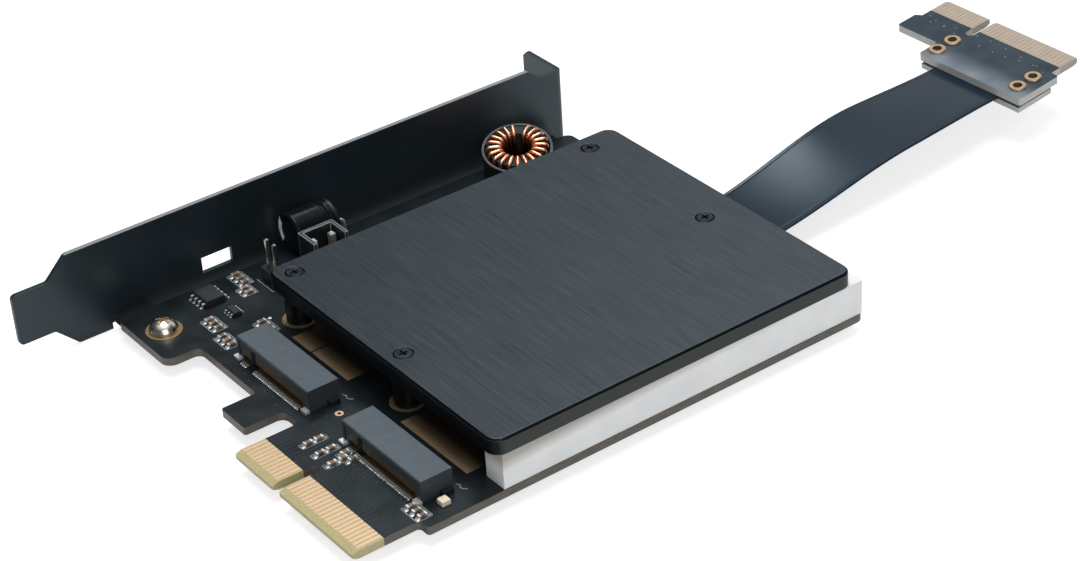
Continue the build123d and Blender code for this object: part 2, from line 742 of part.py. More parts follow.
# Plug board on the ribbon's end, a clamp board below it and four eyelets through both
plug_place = Pos(plug_x, board_back + plug_reach, plug_z) * Rot(0, 0, plug_yaw) * Rot(plug_tilt, 0, 0)
plug_body_left = edge_left - plug_ear_left
plug_body_right = edge_right + plug_ear_right
eyelet_half = ribbon_w / 2 + eyelet_gap + eyelet_r
ribbon_mid = plug_body_right - eyelet_side - eyelet_half
eyelet_xs = (ribbon_mid - eyelet_half, ribbon_mid + eyelet_half)
eyelet_ys = (plug_front_y + eyelet_front, plug_front_y + eyelet_front + eyelet_spacing)
plug_neck_left = eyelet_xs[0] - eyelet_neck
plug_outline = rounded([
    (edge_left, 0, 0.4), (-key_w / 2, 0, 0.3), (-key_w / 2, -plug_key_depth, 0.9),
    (key_w / 2, -plug_key_depth, 0.9), (key_w / 2, 0, 0.3), (edge_right, 0, 0.4),
    (edge_right, plug_step_y, 0.4), (plug_body_right, plug_step_y, 0.4),
    (plug_body_right, plug_front_y, 0.6), (plug_neck_left, plug_front_y, 0.6),
    (plug_neck_left, plug_wide_y, 0.4), (plug_body_left, plug_wide_y, 0.6),
    (plug_body_left, plug_step_y - 0.8, 0.4), (edge_left, plug_step_y, 0.3),
])
plug = extrude(Pos(0, 0, under) * plug_outline, board_t)
for side in (1, -1):
    plug -= mirror(bevel_cut(edge_len, edge_mid, side), Plane.XZ)
ribbon_z = (under - ribbon_t, under)
clamp_top = ribbon_z[0]
clamp_x = (plug_neck_left + 0.6, plug_body_right - 0.4)
clamp = between(clamp_x, (plug_front_y, plug_front_y + clamp_depth), (clamp_top - clamp_t, clamp_top))
eyelets = []
for x in eyelet_xs:
    for y in eyelet_ys:
        stack = (clamp_top - clamp_t, top)
        plug -= rod(x, y, through, eyelet_r)
        clamp -= rod(x, y, (stack[0] - 1, clamp_top + 1), eyelet_r)
        eyelet = rod(x, y, stack, eyelet_r)
        for z in (stack[0] - eyelet_flange_t, stack[1]):
            flange = rod(x, y, (z, z + eyelet_flange_t), eyelet_flange_r)
            eyelet += chamfer(flange.edges().group_by(Axis.Z)[-1 if z > 0 else 0], 0.2)
        eyelet -= rod(x, y, (stack[0] - 1, stack[1] + 1), eyelet_hole_r)
        eyelets.append(plug_place * eyelet)
parts["plug_board"] = plug_place * plug
plug_strips = contacts(contact_start, mask_y - 0.8)
parts["plug_contacts"] = [plug_place * mirror(strip, Plane.XZ) for strip in plug_strips]
parts["clamp_board"] = plug_place * clamp
parts["plug_eyelets"] = eyelets

# Ribbon: flat on the board, then rising with a slight twist to the plug board
root_z = top + ribbon_t / 2
root_x = (ribbon_root_x - ribbon_w / 2, ribbon_root_x + ribbon_w / 2)
root_y = (cover_screw_ys[1] + spacer_pad_r + ribbon_root_gap, board_back - ribbon_root_end)
flat_root = between(root_x, root_y, (top, top + ribbon_t))
tongue_x = (ribbon_mid - ribbon_w / 2, ribbon_mid + ribbon_w / 2)
tongue = plug_place * between(tongue_x, (plug_front_y - 0.5, plug_front_y + ribbon_inside), ribbon_z)
end_place = plug_place * Pos(ribbon_mid, plug_front_y - 0.5, (ribbon_z[0] + ribbon_z[1]) / 2)
end_point = end_place.position
across = Plane(origin=(0, 0, 0), x_dir=(1, 0, 0), z_dir=(0, 1, 0)) * Rectangle(ribbon_w, ribbon_t)
start = Vector(ribbon_root_x, root_y[1], root_z)
sections = [Pos(*start) * across]
stations = 7
for i in range(1, stations):
    t = i / stations
    ease = 0.5 - 0.5 * cos(pi * min(1, t * 1.6))
    x = start.X + (end_point.X - start.X) * t * t
    y = start.Y + (end_point.Y - start.Y) * t
    z = start.Z + (end_point.Z - start.Z) * ease + ribbon_arch * sin(pi * t)
    roll = ribbon_twist * sin(pi * t) ** 2
    sections.append(Pos(x, y, z) * Rot(0, roll, 0) * across)
sections.append(end_place * across)
parts["ribbon_cable"] = flat_root + loft(sections) + tongue

for name, shape in parts.items():
    solids = shape if isinstance(shape, list) else [shape]
    flat = [s for item in solids for s in item.solids()]
    export_step(flat[0] if len(flat) == 1 else Compound(flat), f"parts/{name}.step")
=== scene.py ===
"""Looks of the twin-drive adapter card: finishes of its solids and the fine pieces on its boards."""
from math import pi, radians

import bmesh
import bpy
import numpy as np
from mathutils import Matrix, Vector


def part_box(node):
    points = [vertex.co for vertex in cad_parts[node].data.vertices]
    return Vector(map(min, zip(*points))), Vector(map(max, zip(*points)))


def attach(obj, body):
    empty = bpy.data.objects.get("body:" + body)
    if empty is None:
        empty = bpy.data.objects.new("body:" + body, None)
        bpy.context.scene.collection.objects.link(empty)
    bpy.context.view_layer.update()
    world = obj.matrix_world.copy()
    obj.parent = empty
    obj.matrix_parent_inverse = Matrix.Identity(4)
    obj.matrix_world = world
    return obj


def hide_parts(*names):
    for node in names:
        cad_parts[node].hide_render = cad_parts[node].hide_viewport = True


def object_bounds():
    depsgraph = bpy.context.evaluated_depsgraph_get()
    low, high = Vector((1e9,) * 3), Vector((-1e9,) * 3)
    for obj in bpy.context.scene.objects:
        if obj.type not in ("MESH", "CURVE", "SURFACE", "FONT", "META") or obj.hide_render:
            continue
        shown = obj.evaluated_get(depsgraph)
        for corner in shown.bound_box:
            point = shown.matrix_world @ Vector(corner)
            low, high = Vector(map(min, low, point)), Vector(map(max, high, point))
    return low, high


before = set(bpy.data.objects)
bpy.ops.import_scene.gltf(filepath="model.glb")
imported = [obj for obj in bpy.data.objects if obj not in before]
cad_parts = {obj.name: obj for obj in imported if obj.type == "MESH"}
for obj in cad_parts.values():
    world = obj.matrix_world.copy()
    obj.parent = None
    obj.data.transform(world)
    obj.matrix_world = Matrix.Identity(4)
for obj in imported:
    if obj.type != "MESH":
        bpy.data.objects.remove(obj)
cad_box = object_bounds()

# Main board: glass-fibre laminate under a glossy black mask, routed to its outline.
# The routed sides show the fibre, and the edge connector's tongue stays bare between its contacts.
mm = 0.001
mask_black = (0.0062, 0.0086, 0.0104, 1)
mask_sheen = (0.0115, 0.0150, 0.0172, 1)
fibre_brown = (0.058, 0.042, 0.031, 1)
fibre_grey = (0.195, 0.178, 0.156, 1)
tongue_khaki = (0.50, 0.45, 0.245, 1)
tongue_dark = (0.41, 0.355, 0.180, 1)
mask_patch = 6
highlight_patch = 9
tongue_patch = 0.4
weave_size = 0.5
weave_depth = 0.006
fibre_scale = (350, 350, 4500)
side_below = 0.8
board_top = 0.785
mask_end = 5.9
tongue_left = -12.75
black = (0, 0, 0, 1)
white = (1, 1, 1, 1)
gloss_cool = (0.74, 0.91, 1, 1)
point = "NodeSocketVector"
number = "NodeSocketFloat"
tone = "NodeSocketColor"


def put(tree, kind, inputs=(), **settings):
    """Node of one kind in a tree: its inputs by name or number, linked where a socket is given."""
    node = tree.nodes.new(kind)
    for setting, value in settings.items():
        setattr(node, setting, value)
    for socket, value in dict(inputs).items():
        if isinstance(value, bpy.types.NodeSocket):
            tree.links.new(value, node.inputs[socket])
        else:
            node.inputs[socket].default_value = value
    return node


def worked(tree, operation, first, second=0.0):
    """Number that one operation gives from two."""
    return put(tree, "ShaderNodeMath", {0: first, 1: second}, operation=operation).outputs[0]


def ranged(tree, value, start, stop, low=0.0, high=1.0, ease="LINEAR"):
    """Number between a low and a high one, by how far a value has gone from its start to its stop."""
    limits = {"Value": value, "From Min": start, "From Max": stop, "To Min": low, "To Max": high}
    return put(tree, "ShaderNodeMapRange", limits, interpolation_type=ease).outputs[0]


def mixed(tree, factor, first, second):
    """Colour between two, by a varying factor."""
    return put(tree, "ShaderNodeMix", {"Factor": factor, "A": first, "B": second},
               data_type="RGBA").outputs["Result"]


def axes(tree, vector):
    """The three parts of a vector, by the names of their axes."""
    return put(tree, "ShaderNodeSeparateXYZ", {0: vector}).outputs


def new_group(name, inputs, outputs):
    """Empty node group with named sockets: the group, what it is given and what it puts out."""
    group = bpy.data.node_groups.new(name, "ShaderNodeTree")
    for sockets, way in ((inputs, "INPUT"), (outputs, "OUTPUT")):
        for socket, kind in sockets.items():
            group.interface.new_socket(socket, in_out=way, socket_type=kind)
    return group, group.nodes.new("NodeGroupInput").outputs, group.nodes.new("NodeGroupOutput").inputs


def build_mottle():
    """Cloudy change between two colours: noise of one patch size, eased over its middle."""
    group, given, result = new_group(
        "mottle", {"Vector": point, "Patch": number, "First": tone, "Second": tone},
        {"Color": tone, "Value": number})
    scale = worked(group, "DIVIDE", 1.0, given["Patch"])
    noise = put(group, "ShaderNodeTexNoise", {"Vector": given["Vector"], "Scale": scale, "Detail": 3.0})
    spread = ranged(group, noise.outputs[0], start=0.2, stop=0.8, ease="SMOOTHSTEP")
    group.links.new(mixed(group, spread, given["First"], given["Second"]), result["Color"])
    group.links.new(noise.outputs[0], result["Value"])
    return group


def build_cut_sides():
    """Mask of the sides of a flat board: one where the face stands upright, with fibre bands along Z."""
    group, given, result = new_group(
        "cut sides", {"Vector": point, "First": tone, "Second": tone}, {"Color": tone, "Mask": number})
    face = put(group, "ShaderNodeNewGeometry")
    level = worked(group, "ABSOLUTE", axes(group, face.outputs["True Normal"])["Z"])
    drawn = put(group, "ShaderNodeVectorMath", {0: given["Vector"], 1: fibre_scale}, operation="MULTIPLY")
    bands = put(group, "ShaderNodeTexNoise", {"Vector": drawn.outputs[0], "Scale": 1.0, "Detail": 4.0})
    group.links.new(mixed(group, bands.outputs[0], given["First"], given["Second"]), result["Color"])
    group.links.new(worked(group, "LESS_THAN", level, side_below), result["Mask"])
    return group


mottle = build_mottle()
cut_sides = build_cut_sides()


def new_finish(name, metal=0.0, gloss=0.5):
    """Material of one finish, with its tree, its shader and its object coordinates.

    The gloss of what is no metal is a little cool, as under a clear sky.
    """
    finish = bpy.data.materials.new(name)
    finish.use_nodes = True
    shader = finish.node_tree.nodes["Principled BSDF"]
    shader.inputs["Metallic"].default_value = metal
    shader.inputs["Specular IOR Level"].default_value = gloss
    shader.inputs["Specular Tint"].default_value = gloss_cool if metal == 0 else white
    place = put(finish.node_tree, "ShaderNodeTexCoord")
    return finish, finish.node_tree, shader, place.outputs["Object"]


def clouded(tree, place, patch, first=black, second=white):
    """Colour and value of the mottle group, with its own patch size in millimetres and two colours."""
    inputs = {"Vector": place, "Patch": patch * mm, "First": first, "Second": second}
    outputs = put(tree, "ShaderNodeGroup", inputs, node_tree=mottle).outputs
    return outputs["Color"], outputs["Value"]


def roughened(tree, shader, value, rough):
    """Roughness that follows a varying value between two limits."""
    low, high = rough
    spread = ranged(tree, value, start=0.25, stop=0.75, low=low, high=high)
    tree.links.new(spread, shader.inputs["Roughness"])
    return spread


def bumped(tree, shader, height, depth, normal=None):
    """Relief of a varying height on a finish, over a rounded normal where one is given."""
    relief = put(tree, "ShaderNodeBump", {"Height": height, "Distance": depth * mm, "Strength": 1.0})
    if normal is not None:
        tree.links.new(normal, relief.inputs["Normal"])
    tree.links.new(relief.outputs[0], shader.inputs["Normal"])


def grained(tree, shader, place, size, depth, normal=None):
    """Relief of a fine cloudy grain, with its size and depth in millimetres."""
    bumped(tree, shader, clouded(tree, place, size)[1], depth, normal)


def board_finish(name, local, mask_colours, side_colours, tongue_colours, bare_way, bare_from, painted_highlight=None):
    """Masked board: mask colour on the faces, fibre on the cut sides, bare laminate past the mask's end.

    local turns the object coordinates into the board's own; bare_way compares Y with the mask's end.
    The last argument is a paler colour, a painted highlight, and the two lines along Y between which it comes
    in, in clouds.
    """
    finish, tree, shader, place = new_finish(name, gloss=0.32)
    own = local(tree, place)
    split = axes(tree, own)
    tint, cloud = clouded(tree, own, mask_patch, *mask_colours)
    # Painted highlight: a paler colour laid in clouds between two lines along Y.
    if painted_highlight is not None:
        pale, start, stop = painted_highlight
        share = ranged(tree, split["Y"], start * mm, stop * mm, ease="SMOOTHSTEP")
        share = worked(tree, "MULTIPLY", share, clouded(tree, own, highlight_patch)[1])
        tint = mixed(tree, share, tint, pale)
    side = put(tree, "ShaderNodeGroup", {"Vector": own, "First": side_colours[0], "Second": side_colours[1]},
               node_tree=cut_sides).outputs
    masked = mixed(tree, side["Mask"], tint, side["Color"])
    bare = worked(tree, "MULTIPLY", worked(tree, bare_way, split["Y"], bare_from * mm),
                  worked(tree, "GREATER_THAN", split["X"], tongue_left * mm))
    tongue = clouded(tree, own, tongue_patch, *tongue_colours)[0]
    tree.links.new(mixed(tree, bare, masked, tongue), shader.inputs["Base Color"])
    roughened(tree, shader, cloud, rough=(0.26, 0.4))
    grained(tree, shader, own, weave_size, weave_depth)
    return finish


def dress(finish, *names):
    """Put one finish on solids of the frame."""
    for name in names:
        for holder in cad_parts[name].material_slots:
            holder.material = finish


board_mask = board_finish("board_mask", lambda tree, place: place, (mask_black, mask_sheen),
                          (fibre_brown, fibre_grey), (tongue_dark, tongue_khaki), "LESS_THAN", mask_end)
dress(board_mask, "main_board")

# Gold-plated copper on the board: the edge contacts, the lands round the screws and spacers,
# the bare ground areas under the drives and the test ring, all a few hundredths of a millimetre high.
gold_pale = (0.69, 0.49, 0.32, 1)
gold_warm = (0.62, 0.42, 0.255, 1)
land_tan = (0.34, 0.235, 0.12, 1)
land_brown = (0.22, 0.145, 0.070, 1)
ring_tan = (0.36, 0.265, 0.155, 1)
ring_brown = (0.27, 0.19, 0.105, 1)
ground_tan = (0.38, 0.28, 0.178, 1)
ground_brown = (0.295, 0.198, 0.112, 1)
# Painted shade: past their front edge the ground areas turn to this dark colour, where the cover shades them.
ground_painted_shade = (0.030, 0.022, 0.014, 1)
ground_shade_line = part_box("heat_pads")[0][1] / mm
ground_shade_fade = 3.6
grain_per_patch = 0.1
plating_relief = 0.004
inward = (0, 1, 0)


def turning(tree, place, colour, beyond):
    """Colour that turns to a third one, given with its way, the line it starts at and its stretch."""
    if beyond is None:
        return colour
    third, way, line, fade = beyond
    along = put(tree, "ShaderNodeVectorMath", {0: place, 1: way}, operation="DOT_PRODUCT")
    share = ranged(tree, along.outputs["Value"], line * mm, (line + fade) * mm)
    return mixed(tree, share, colour, third)


def plated(name, first, second, patch, rough, metal=1.0, beyond=None):
    """Plated metal: two close tints in patches, with the roughness between two limits."""
    finish, tree, shader, place = new_finish(name, metal)
    tint, cloud = clouded(tree, place, patch, first, second)
    tree.links.new(turning(tree, place, tint, beyond), shader.inputs["Base Color"])
    roughened(tree, shader, cloud, rough)
    grained(tree, shader, place, patch * grain_per_patch, plating_relief)
    return finish


dress(plated("contact_gold", gold_pale, gold_warm, patch=3, rough=(0.36, 0.46), metal=0.35),
      "edge_contacts", "test_ring")
dress(plated("land_gold", land_tan, land_brown, patch=5, rough=(0.36, 0.5), metal=0.8), "bracket_pads")
dress(plated("ring_gold", ring_tan, ring_brown, patch=5, rough=(0.36, 0.5), metal=0.6), "spacer_pads")
# The ground areas fade into painted shade inward from their front edge, under the cover.
dress(plated("ground_gold", ground_tan, ground_brown, patch=5, rough=(0.28, 0.42), metal=0.35,
             beyond=(ground_painted_shade, inward, ground_shade_line, ground_shade_fade)), "heat_pads")

# Chip parts in fired ceramic with tinned ends, and two moulded packages with tinned gull leads.
# They are soldered to small lands, and each end has a hollow fillet of solder.
ceramic_tan = (0.29, 0.185, 0.115, 1)
ceramic_grey = (0.050, 0.045, 0.040, 1)
epoxy_black = (0.010, 0.011, 0.012, 1)
epoxy_grey = (0.022, 0.023, 0.025, 1)
tin_bright = (0.86, 0.86, 0.85, 1)
tin_dull = (0.66, 0.67, 0.68, 1)
patch_per_grain = 14
# Each group: X and Y of its first chip, the step between its columns, and its columns and rows.
chip_groups = ((-49.6, 17.2, 1.6, 3, 1), (-43.4, 16.2, 1.6, 3, 1), (-59.4, 28.6, 1.6, 3, 1),
               (-54.4, 27.4, 1.6, 2, 1), (-6.4, 10.4, 3.65, 3, 2), (-0.2, 13.6, 2.3, 2, 1),
               (18.9, 13.6, 1.6, 3, 1))
rear_group = (-42.8, 23.9, 1.6, 3, 1)
chip_row_step = 2.1
chip_reach = 0.8
chip_wide = 0.8
chip_end = 0.3
chip_high = 0.6
solder_bite = 0.02
merge_gap = 1e-7
sliver = 1e-8
scene = bpy.context.scene


def build_soft_edge():
    """Rounded edges: a normal rounded over one radius, and a mask where it turns away, which some finishes
    use for painted edge highlights.
    """
    group, given, result = new_group("soft edge", {"Radius": number}, {"Normal": point, "Mask": number})
    rounded = put(group, "ShaderNodeBevel", {"Radius": given["Radius"]}, samples=6)
    face = put(group, "ShaderNodeNewGeometry")
    along = put(group, "ShaderNodeVectorMath", {0: rounded.outputs[0], 1: face.outputs["Normal"]},
                operation="DOT_PRODUCT")
    group.links.new(rounded.outputs[0], result["Normal"])
    group.links.new(ranged(group, along.outputs["Value"], start=0.995, stop=0.85), result["Mask"])
    return group


soft_edge = build_soft_edge()


def rounded_edge(tree, radius):
    """Normal and mask of the soft edge group, over one radius in millimetres."""
    outputs = put(tree, "ShaderNodeGroup", {"Radius": radius * mm}, node_tree=soft_edge).outputs
    return outputs["Normal"], outputs["Mask"]


def moulded(name, first, second, grain, rough, relief, edge, rim=None, gloss=0.4, beyond=None):
    """Moulded resin: two close tints, a fine grain in relief and edges rounded over one radius.

    A rim colour, where one is given, is a painted highlight along the edges.
    """
    finish, tree, shader, place = new_finish(name, gloss=gloss)
    tint, cloud = clouded(tree, place, patch_per_grain * grain, first, second)
    normal, mask = rounded_edge(tree, edge)
    colour = turning(tree, place, tint, beyond)
    # The rim colour is a painted highlight laid along the edge mask.
    if rim is not None:
        colour = mixed(tree, mask, colour, rim)
    tree.links.new(colour, shader.inputs["Base Color"])
    roughened(tree, shader, cloud, rough)
    grained(tree, shader, place, grain, relief, normal)
    return finish


def add_piece(name, grids, finish, smooth_to=40, close_rows=False):
    """Piece of quads over point grids of shape (copies, rows, columns, 3), in millimetres.

    Each cell between neighbouring rows and columns is a face. The last column joins the first,
    or the last row where asked, and faces are smooth up to an angle in degrees.
    """
    copies, rows, columns = grids.shape[:3]
    k, i, j = np.meshgrid(np.arange(copies), np.arange(rows if close_rows else rows - 1),
                          np.arange(columns - 1 if close_rows else columns), indexing="ij")

    def index(row, column):
        return (k * rows + row % rows) * columns + column % columns

    quads = np.stack([index(i, j), index(i + 1, j), index(i + 1, j + 1), index(i, j + 1)], axis=-1)
    mesh = bpy.data.meshes.new(name)
    mesh.from_pydata((grids.reshape(-1, 3) * mm).tolist(), [], quads.reshape(-1, 4).tolist())
    work = bmesh.new()
    work.from_mesh(mesh)
    bmesh.ops.remove_doubles(work, verts=work.verts, dist=merge_gap)
    bmesh.ops.dissolve_degenerate(work, edges=work.edges, dist=sliver)
    bmesh.ops.recalc_face_normals(work, faces=work.faces)
    work.to_mesh(mesh)
    work.free()
    mesh.shade_smooth()
    mesh.set_sharp_from_angle(angle=radians(smooth_to))
    mesh.materials.append(finish)
    piece = bpy.data.objects.new(name, mesh)
    scene.collection.objects.link(piece)
    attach(piece, "root")
    return piece


def spots(*parts):
    """Points from arrays of their coordinates, each spread out to the shape of all."""
    return np.stack(np.broadcast_arrays(*parts), axis=-1)


def block_grid(lows, highs):
    """Closed boxes between two corners each: a ring below and a ring above, both drawn to their middles."""
    x = np.stack([lows[:, 0], highs[:, 0], highs[:, 0], lows[:, 0]], axis=1)
    y = np.stack([lows[:, 1], lows[:, 1], highs[:, 1], highs[:, 1]], axis=1)
    ring = spots(x, y)
    inner = np.broadcast_to((lows + highs)[:, None, :2] / 2, ring.shape)
    plan = np.stack([inner, ring, ring, inner], axis=1)
    z = np.stack([lows[:, 2], lows[:, 2], highs[:, 2], highs[:, 2]], axis=1)
    return spots(plan[..., 0], plan[..., 1], z[:, :, None])


def chip_places(groups):
    """Middles of the chips in groups: each group is a row of columns, repeated in rows."""
    places = []
    for x, y, step, columns, rows in groups:
        grid = spots(x + np.arange(columns)[:, None] * step, y + np.arange(rows) * chip_row_step)
        places.append(grid.reshape(-1, 2))
    return np.concatenate(places)


def fillets(middles, ways, half_width, reach, height):
    """Solder fillets: height falls with the square of the way out and the fourth power of the way across.

    Each starts at its middle point and runs out along Y by its way's sign, and back along the board.
    """
    across = np.linspace(-1, 1, 7)[None, None, :]
    out = np.array([0, 0.25, 0.6, 1, 0.6, 0.25, 0])[None, :, None]
    raised = np.array([1, 1, 1, 0, 0, 0, 0])[None, :, None]
    lift = height * raised * (1 - out) ** 2 * (1 - across ** 4)
    x = middles[:, 0, None, None] + half_width * across
    y = middles[:, 1, None, None] + ways[:, None, None] * reach * out
    return spots(x, y, board_top + lift)


chip_ceramic = moulded("chip_ceramic", ceramic_tan, ceramic_grey, grain=0.12, rough=(0.5, 0.65), relief=0.004,
                       edge=0.05)
tinned = plated("tinned", tin_bright, tin_dull, patch=1.2, rough=(0.26, 0.42), metal=0.75)
dress(chip_ceramic, "small_chips")
dress(moulded("chip_epoxy", epoxy_black, epoxy_grey, grain=0.1, rough=(0.45, 0.6), relief=0.008, edge=0.08),
      "driver_chip", "switch_chip")
dress(tinned, "chip_ends", "driver_leads", "switch_leads", "solder_joints")
chip_middles = chip_places((*chip_groups, rear_group))
rear_feet = spots(*chip_places((rear_group,)).T, board_top)
rear_body = np.array([chip_wide / 2, chip_reach - chip_end, 0])
rear_bodies = block_grid(rear_feet - rear_body, rear_feet + rear_body + (0, 0, chip_high))
add_piece("rear_chips", rear_bodies, chip_ceramic, smooth_to=30)
rear_shift = np.array([0, chip_reach - chip_end / 2, 0])
rear_ends = np.concatenate([rear_feet - rear_shift, rear_feet + rear_shift])
rear_end = np.array([chip_wide / 2, chip_end / 2, 0])
rear_caps = block_grid(rear_ends - rear_end, rear_ends + rear_end + (0, 0, chip_high))
add_piece("rear_chip_ends", rear_caps, tinned, smooth_to=30)
chip_ways = np.repeat((-1.0, 1.0), len(chip_middles))
chip_tips = np.tile(chip_middles, (2, 1))
chip_tips[:, 1] += chip_ways * (chip_reach - solder_bite)
chip_fillets = fillets(chip_tips, chip_ways, half_width=0.46, reach=0.5, height=0.42)
add_piece("chip_solder", chip_fillets, tinned, close_rows=True)

# Copper tracks and plated holes under the mask: fine raised lines from the right socket's tails to the long
# contacts and from between the sockets to the short ones, a scatter of plated holes, and one tinned pad.
track_black = (0.014, 0.019, 0.021, 1)
track_sheen = (0.024, 0.030, 0.033, 1)
track_width = 0.2
track_height = 0.035
tail_line = 14.5
finger_line = 6.0
# Each fan: first and last X at the tails and at the contacts, the first and last share of the way at which
# its tracks bend, the share that a bend takes, and the number of tracks.
track_fans = {"long_tracks": ((-0.6, 16.4), (1.775, 21.775), (0.42, 0.05), 0.5, 21),
              "short_tracks": ((-11.0, -4.2), (-11.775, -3.775), (0.35, 0.15), 0.3, 9)}
# Each row of holes: where it starts, its step, its level, how far and how fast it sways, and its number.
cross_rows = ((1.2, 2.1, 12.3, 0.9, 2.1, 7), (-33.5, 2.3, 12.8, 0.6, 1.7, 7))
long_rows = ((14, 1.9, -40.3, 0.9, 2.4, 6), (14.2, 1.5, -10.6, 1.2, 1.9, 6))
pad_middle = (-43.3, 25.9)


def track_grid(starts, ends, bend_from, bend_to, samples=16):
    """Tracks along -Y: X goes from start to end evenly between two shares of the way.

    The section is flat-topped and closed below, and both ends are drawn to a point.
    """
    way = np.concatenate([[0], np.linspace(0, 1, samples), [1]])[None, :]
    full = np.concatenate([[0], np.ones(samples), [0]])[None, :, None]
    share = np.clip((way - bend_from[:, None]) / (bend_to - bend_from)[:, None], 0, 1)
    x = starts[:, None] + (ends - starts)[:, None] * share
    y = tail_line + (finger_line - tail_line) * way
    side = np.array([-1, -0.8, 0.8, 1]) * track_width / 2
    lift = np.array([0, 1, 1, 0]) * track_height
    return spots(x[..., None] + side * full, y[..., None], board_top + lift * full)


def dome_grid(middles, radius, height, around=10):
    """Low round domes on a board: height falls with the square of the radius.

    The flat foot is drawn to its middle.
    """
    turn = np.linspace(0, 2 * pi, around, endpoint=False)[None, None, :]
    out = np.array([0, 0.5, 0.85, 1, 0])[None, :, None]
    lift = np.array([1, 0.75, 0.28, 0, 0])[None, :, None] * height
    x = middles[:, 0, None, None] + radius * out * np.cos(turn)
    y = middles[:, 1, None, None] + radius * out * np.sin(turn)
    return spots(x, y, board_top + lift)


def loose_row(start, step, level, sway, beat, count):
    """Row that goes on evenly in one coordinate and sways about a level by a sine in the other."""
    turn = np.arange(count)
    return start + step * turn, level + sway * np.sin(turn * beat)


track_mask = moulded("track_mask", track_black, track_sheen, grain=0.3, rough=(0.24, 0.36), relief=0.003,
                     edge=0.03)
for name, (tails, contacts, bends, bend_share, count) in track_fans.items():
    bend = np.linspace(*bends, count)
    tracks = track_grid(np.linspace(*tails, count), np.linspace(*contacts, count), bend, bend + bend_share)
    add_piece(name, tracks, track_mask)
holes = np.concatenate([spots(*loose_row(*row)) for row in cross_rows] +
                       [spots(*loose_row(*row)[::-1]) for row in long_rows])
add_piece("plated_holes", dome_grid(holes, radius=0.2, height=0.06), track_mask)
add_piece("bare_pad", dome_grid(np.array([pad_middle]), radius=0.34, height=0.05), tinned)

# White print on the mask: outlines round the chip groups, a corner mark by the headers and a wavy stroke
# by each socket, in ink a few hundredths of a millimetre thick that is laid through a screen.
ink_white = (0.40, 0.42, 0.43, 1)
ink_grey = (0.22, 0.235, 0.25, 1)
ink_width = 0.13
ink_height = 0.02
ink_margin = np.array([0.7, 1.5])
mark_corners = np.array([[-55.7, 30.9], [-50.2, 30.9], [-50.2, 33.8]])
zigzag = np.array([[0, 0], [0.7, 0.35], [1.2, -0.1], [1.9, 0.2], [2.2, 0.7]])
zigzag_starts = ((-14.6, 22.6), (18.6, 22.6))


def line_grid(starts, ends):
    """Printed lines: a flat bar from each start to its end, widened to each side and closed all round."""
    along = ends - starts
    length = np.linalg.norm(along, axis=-1, keepdims=True)
    aside = spots(-along[:, 1], along[:, 0]) / length * ink_width / 2
    reach = along / length * ink_width / 2
    first = starts - reach
    last = ends + reach
    rows = []
    for middle, spread in ((first, 0), (first, 1), (last, 1), (last, 0)):
        left = middle - aside * spread
        right = middle + aside * spread
        ring = np.stack([left, right, right, left], axis=1)
        lift = board_top + np.array([0, 0, ink_height, ink_height]) * spread
        rows.append(spots(ring[..., 0], ring[..., 1], lift))
    return np.stack(rows, axis=1)


def outlines(lows, highs):
    """Starts and ends of the four sides of each rectangle."""
    right = spots(highs[:, 0], lows[:, 1])
    left = spots(lows[:, 0], highs[:, 1])
    corners = np.stack([lows, right, highs, left], axis=1)
    return corners.reshape(-1, 2), np.roll(corners, -1, axis=1).reshape(-1, 2)


# A group of one row has one frame, and in a group of more rows each column has its own.
framed = [group for group in (*chip_groups, rear_group) if group[-1] == 1]
framed += [(x + k * step, y, step, 1, rows) for x, y, step, columns, rows in chip_groups if rows > 1
           for k in range(columns)]
frame_lows = np.array([[x, y] for x, y, step, columns, rows in framed]) - ink_margin
frame_highs = np.array([[x + (columns - 1) * step, y + (rows - 1) * chip_row_step]
                        for x, y, step, columns, rows in framed]) + ink_margin
box_starts, box_ends = outlines(frame_lows, frame_highs)
strokes = [mark_corners] + [zigzag + start for start in zigzag_starts]
ink_starts = np.concatenate([box_starts] + [stroke[:-1] for stroke in strokes])
ink_ends = np.concatenate([box_ends] + [stroke[1:] for stroke in strokes])
screen_ink = moulded("screen_ink", ink_white, ink_grey, grain=0.12, rough=(0.5, 0.65), relief=0.004,
                     edge=0.02)
add_piece("print_lines", line_grid(ink_starts, ink_ends), screen_ink, smooth_to=30)

# Ring choke: a pressed powder core, one layer of enamelled copper wire wound through it,
# and a thin grey collar that holds it leaning. Painted shade darkens the wire low in the ring,
# and both its ends go down through the board.
core_dark = (0.012, 0.0115, 0.011, 1)
core_grey = (0.028, 0.025, 0.023, 1)
copper_bright = (0.94, 0.47, 0.29, 1)
copper_deep = (0.78, 0.31, 0.16, 1)
# Painted shade for the wire deep in the ring, where the hole is in shade.
copper_painted_shade = (0.10, 0.036, 0.018, 1)
wire_shade_top = 6.3
wire_shade_fade = 2.6
enamel_coat = 0.5
collar_grey = (0.022, 0.023, 0.025, 1)
collar_dark = (0.012, 0.013, 0.015, 1)
# Pale painted highlight along the collar's edges.
collar_rim_highlight = (0.20, 0.20, 0.205, 1)
collar_r = 6.8
choke_at = np.array([-53.83, 88.87, board_top])
choke_lean = radians(-39)
choke_tilt = radians(14)
wire_r = 0.35
wire_turns = 20
wire_open = 0.25
wire_gap = radians(34)
wire_gap_dir = radians(136)
wire_inner = 3.0
wire_outer = 5.85
wire_low = 0.75
wire_high = 6.45
turn_samples = 56
turn_start = radians(225)
turn_power = 0.36
lead_end = -2.085
lead_drop = 0.25
lead_samples = 8


def unit(vectors):
    """Each vector over its own length."""
    return vectors / np.linalg.norm(vectors, axis=-1, keepdims=True)


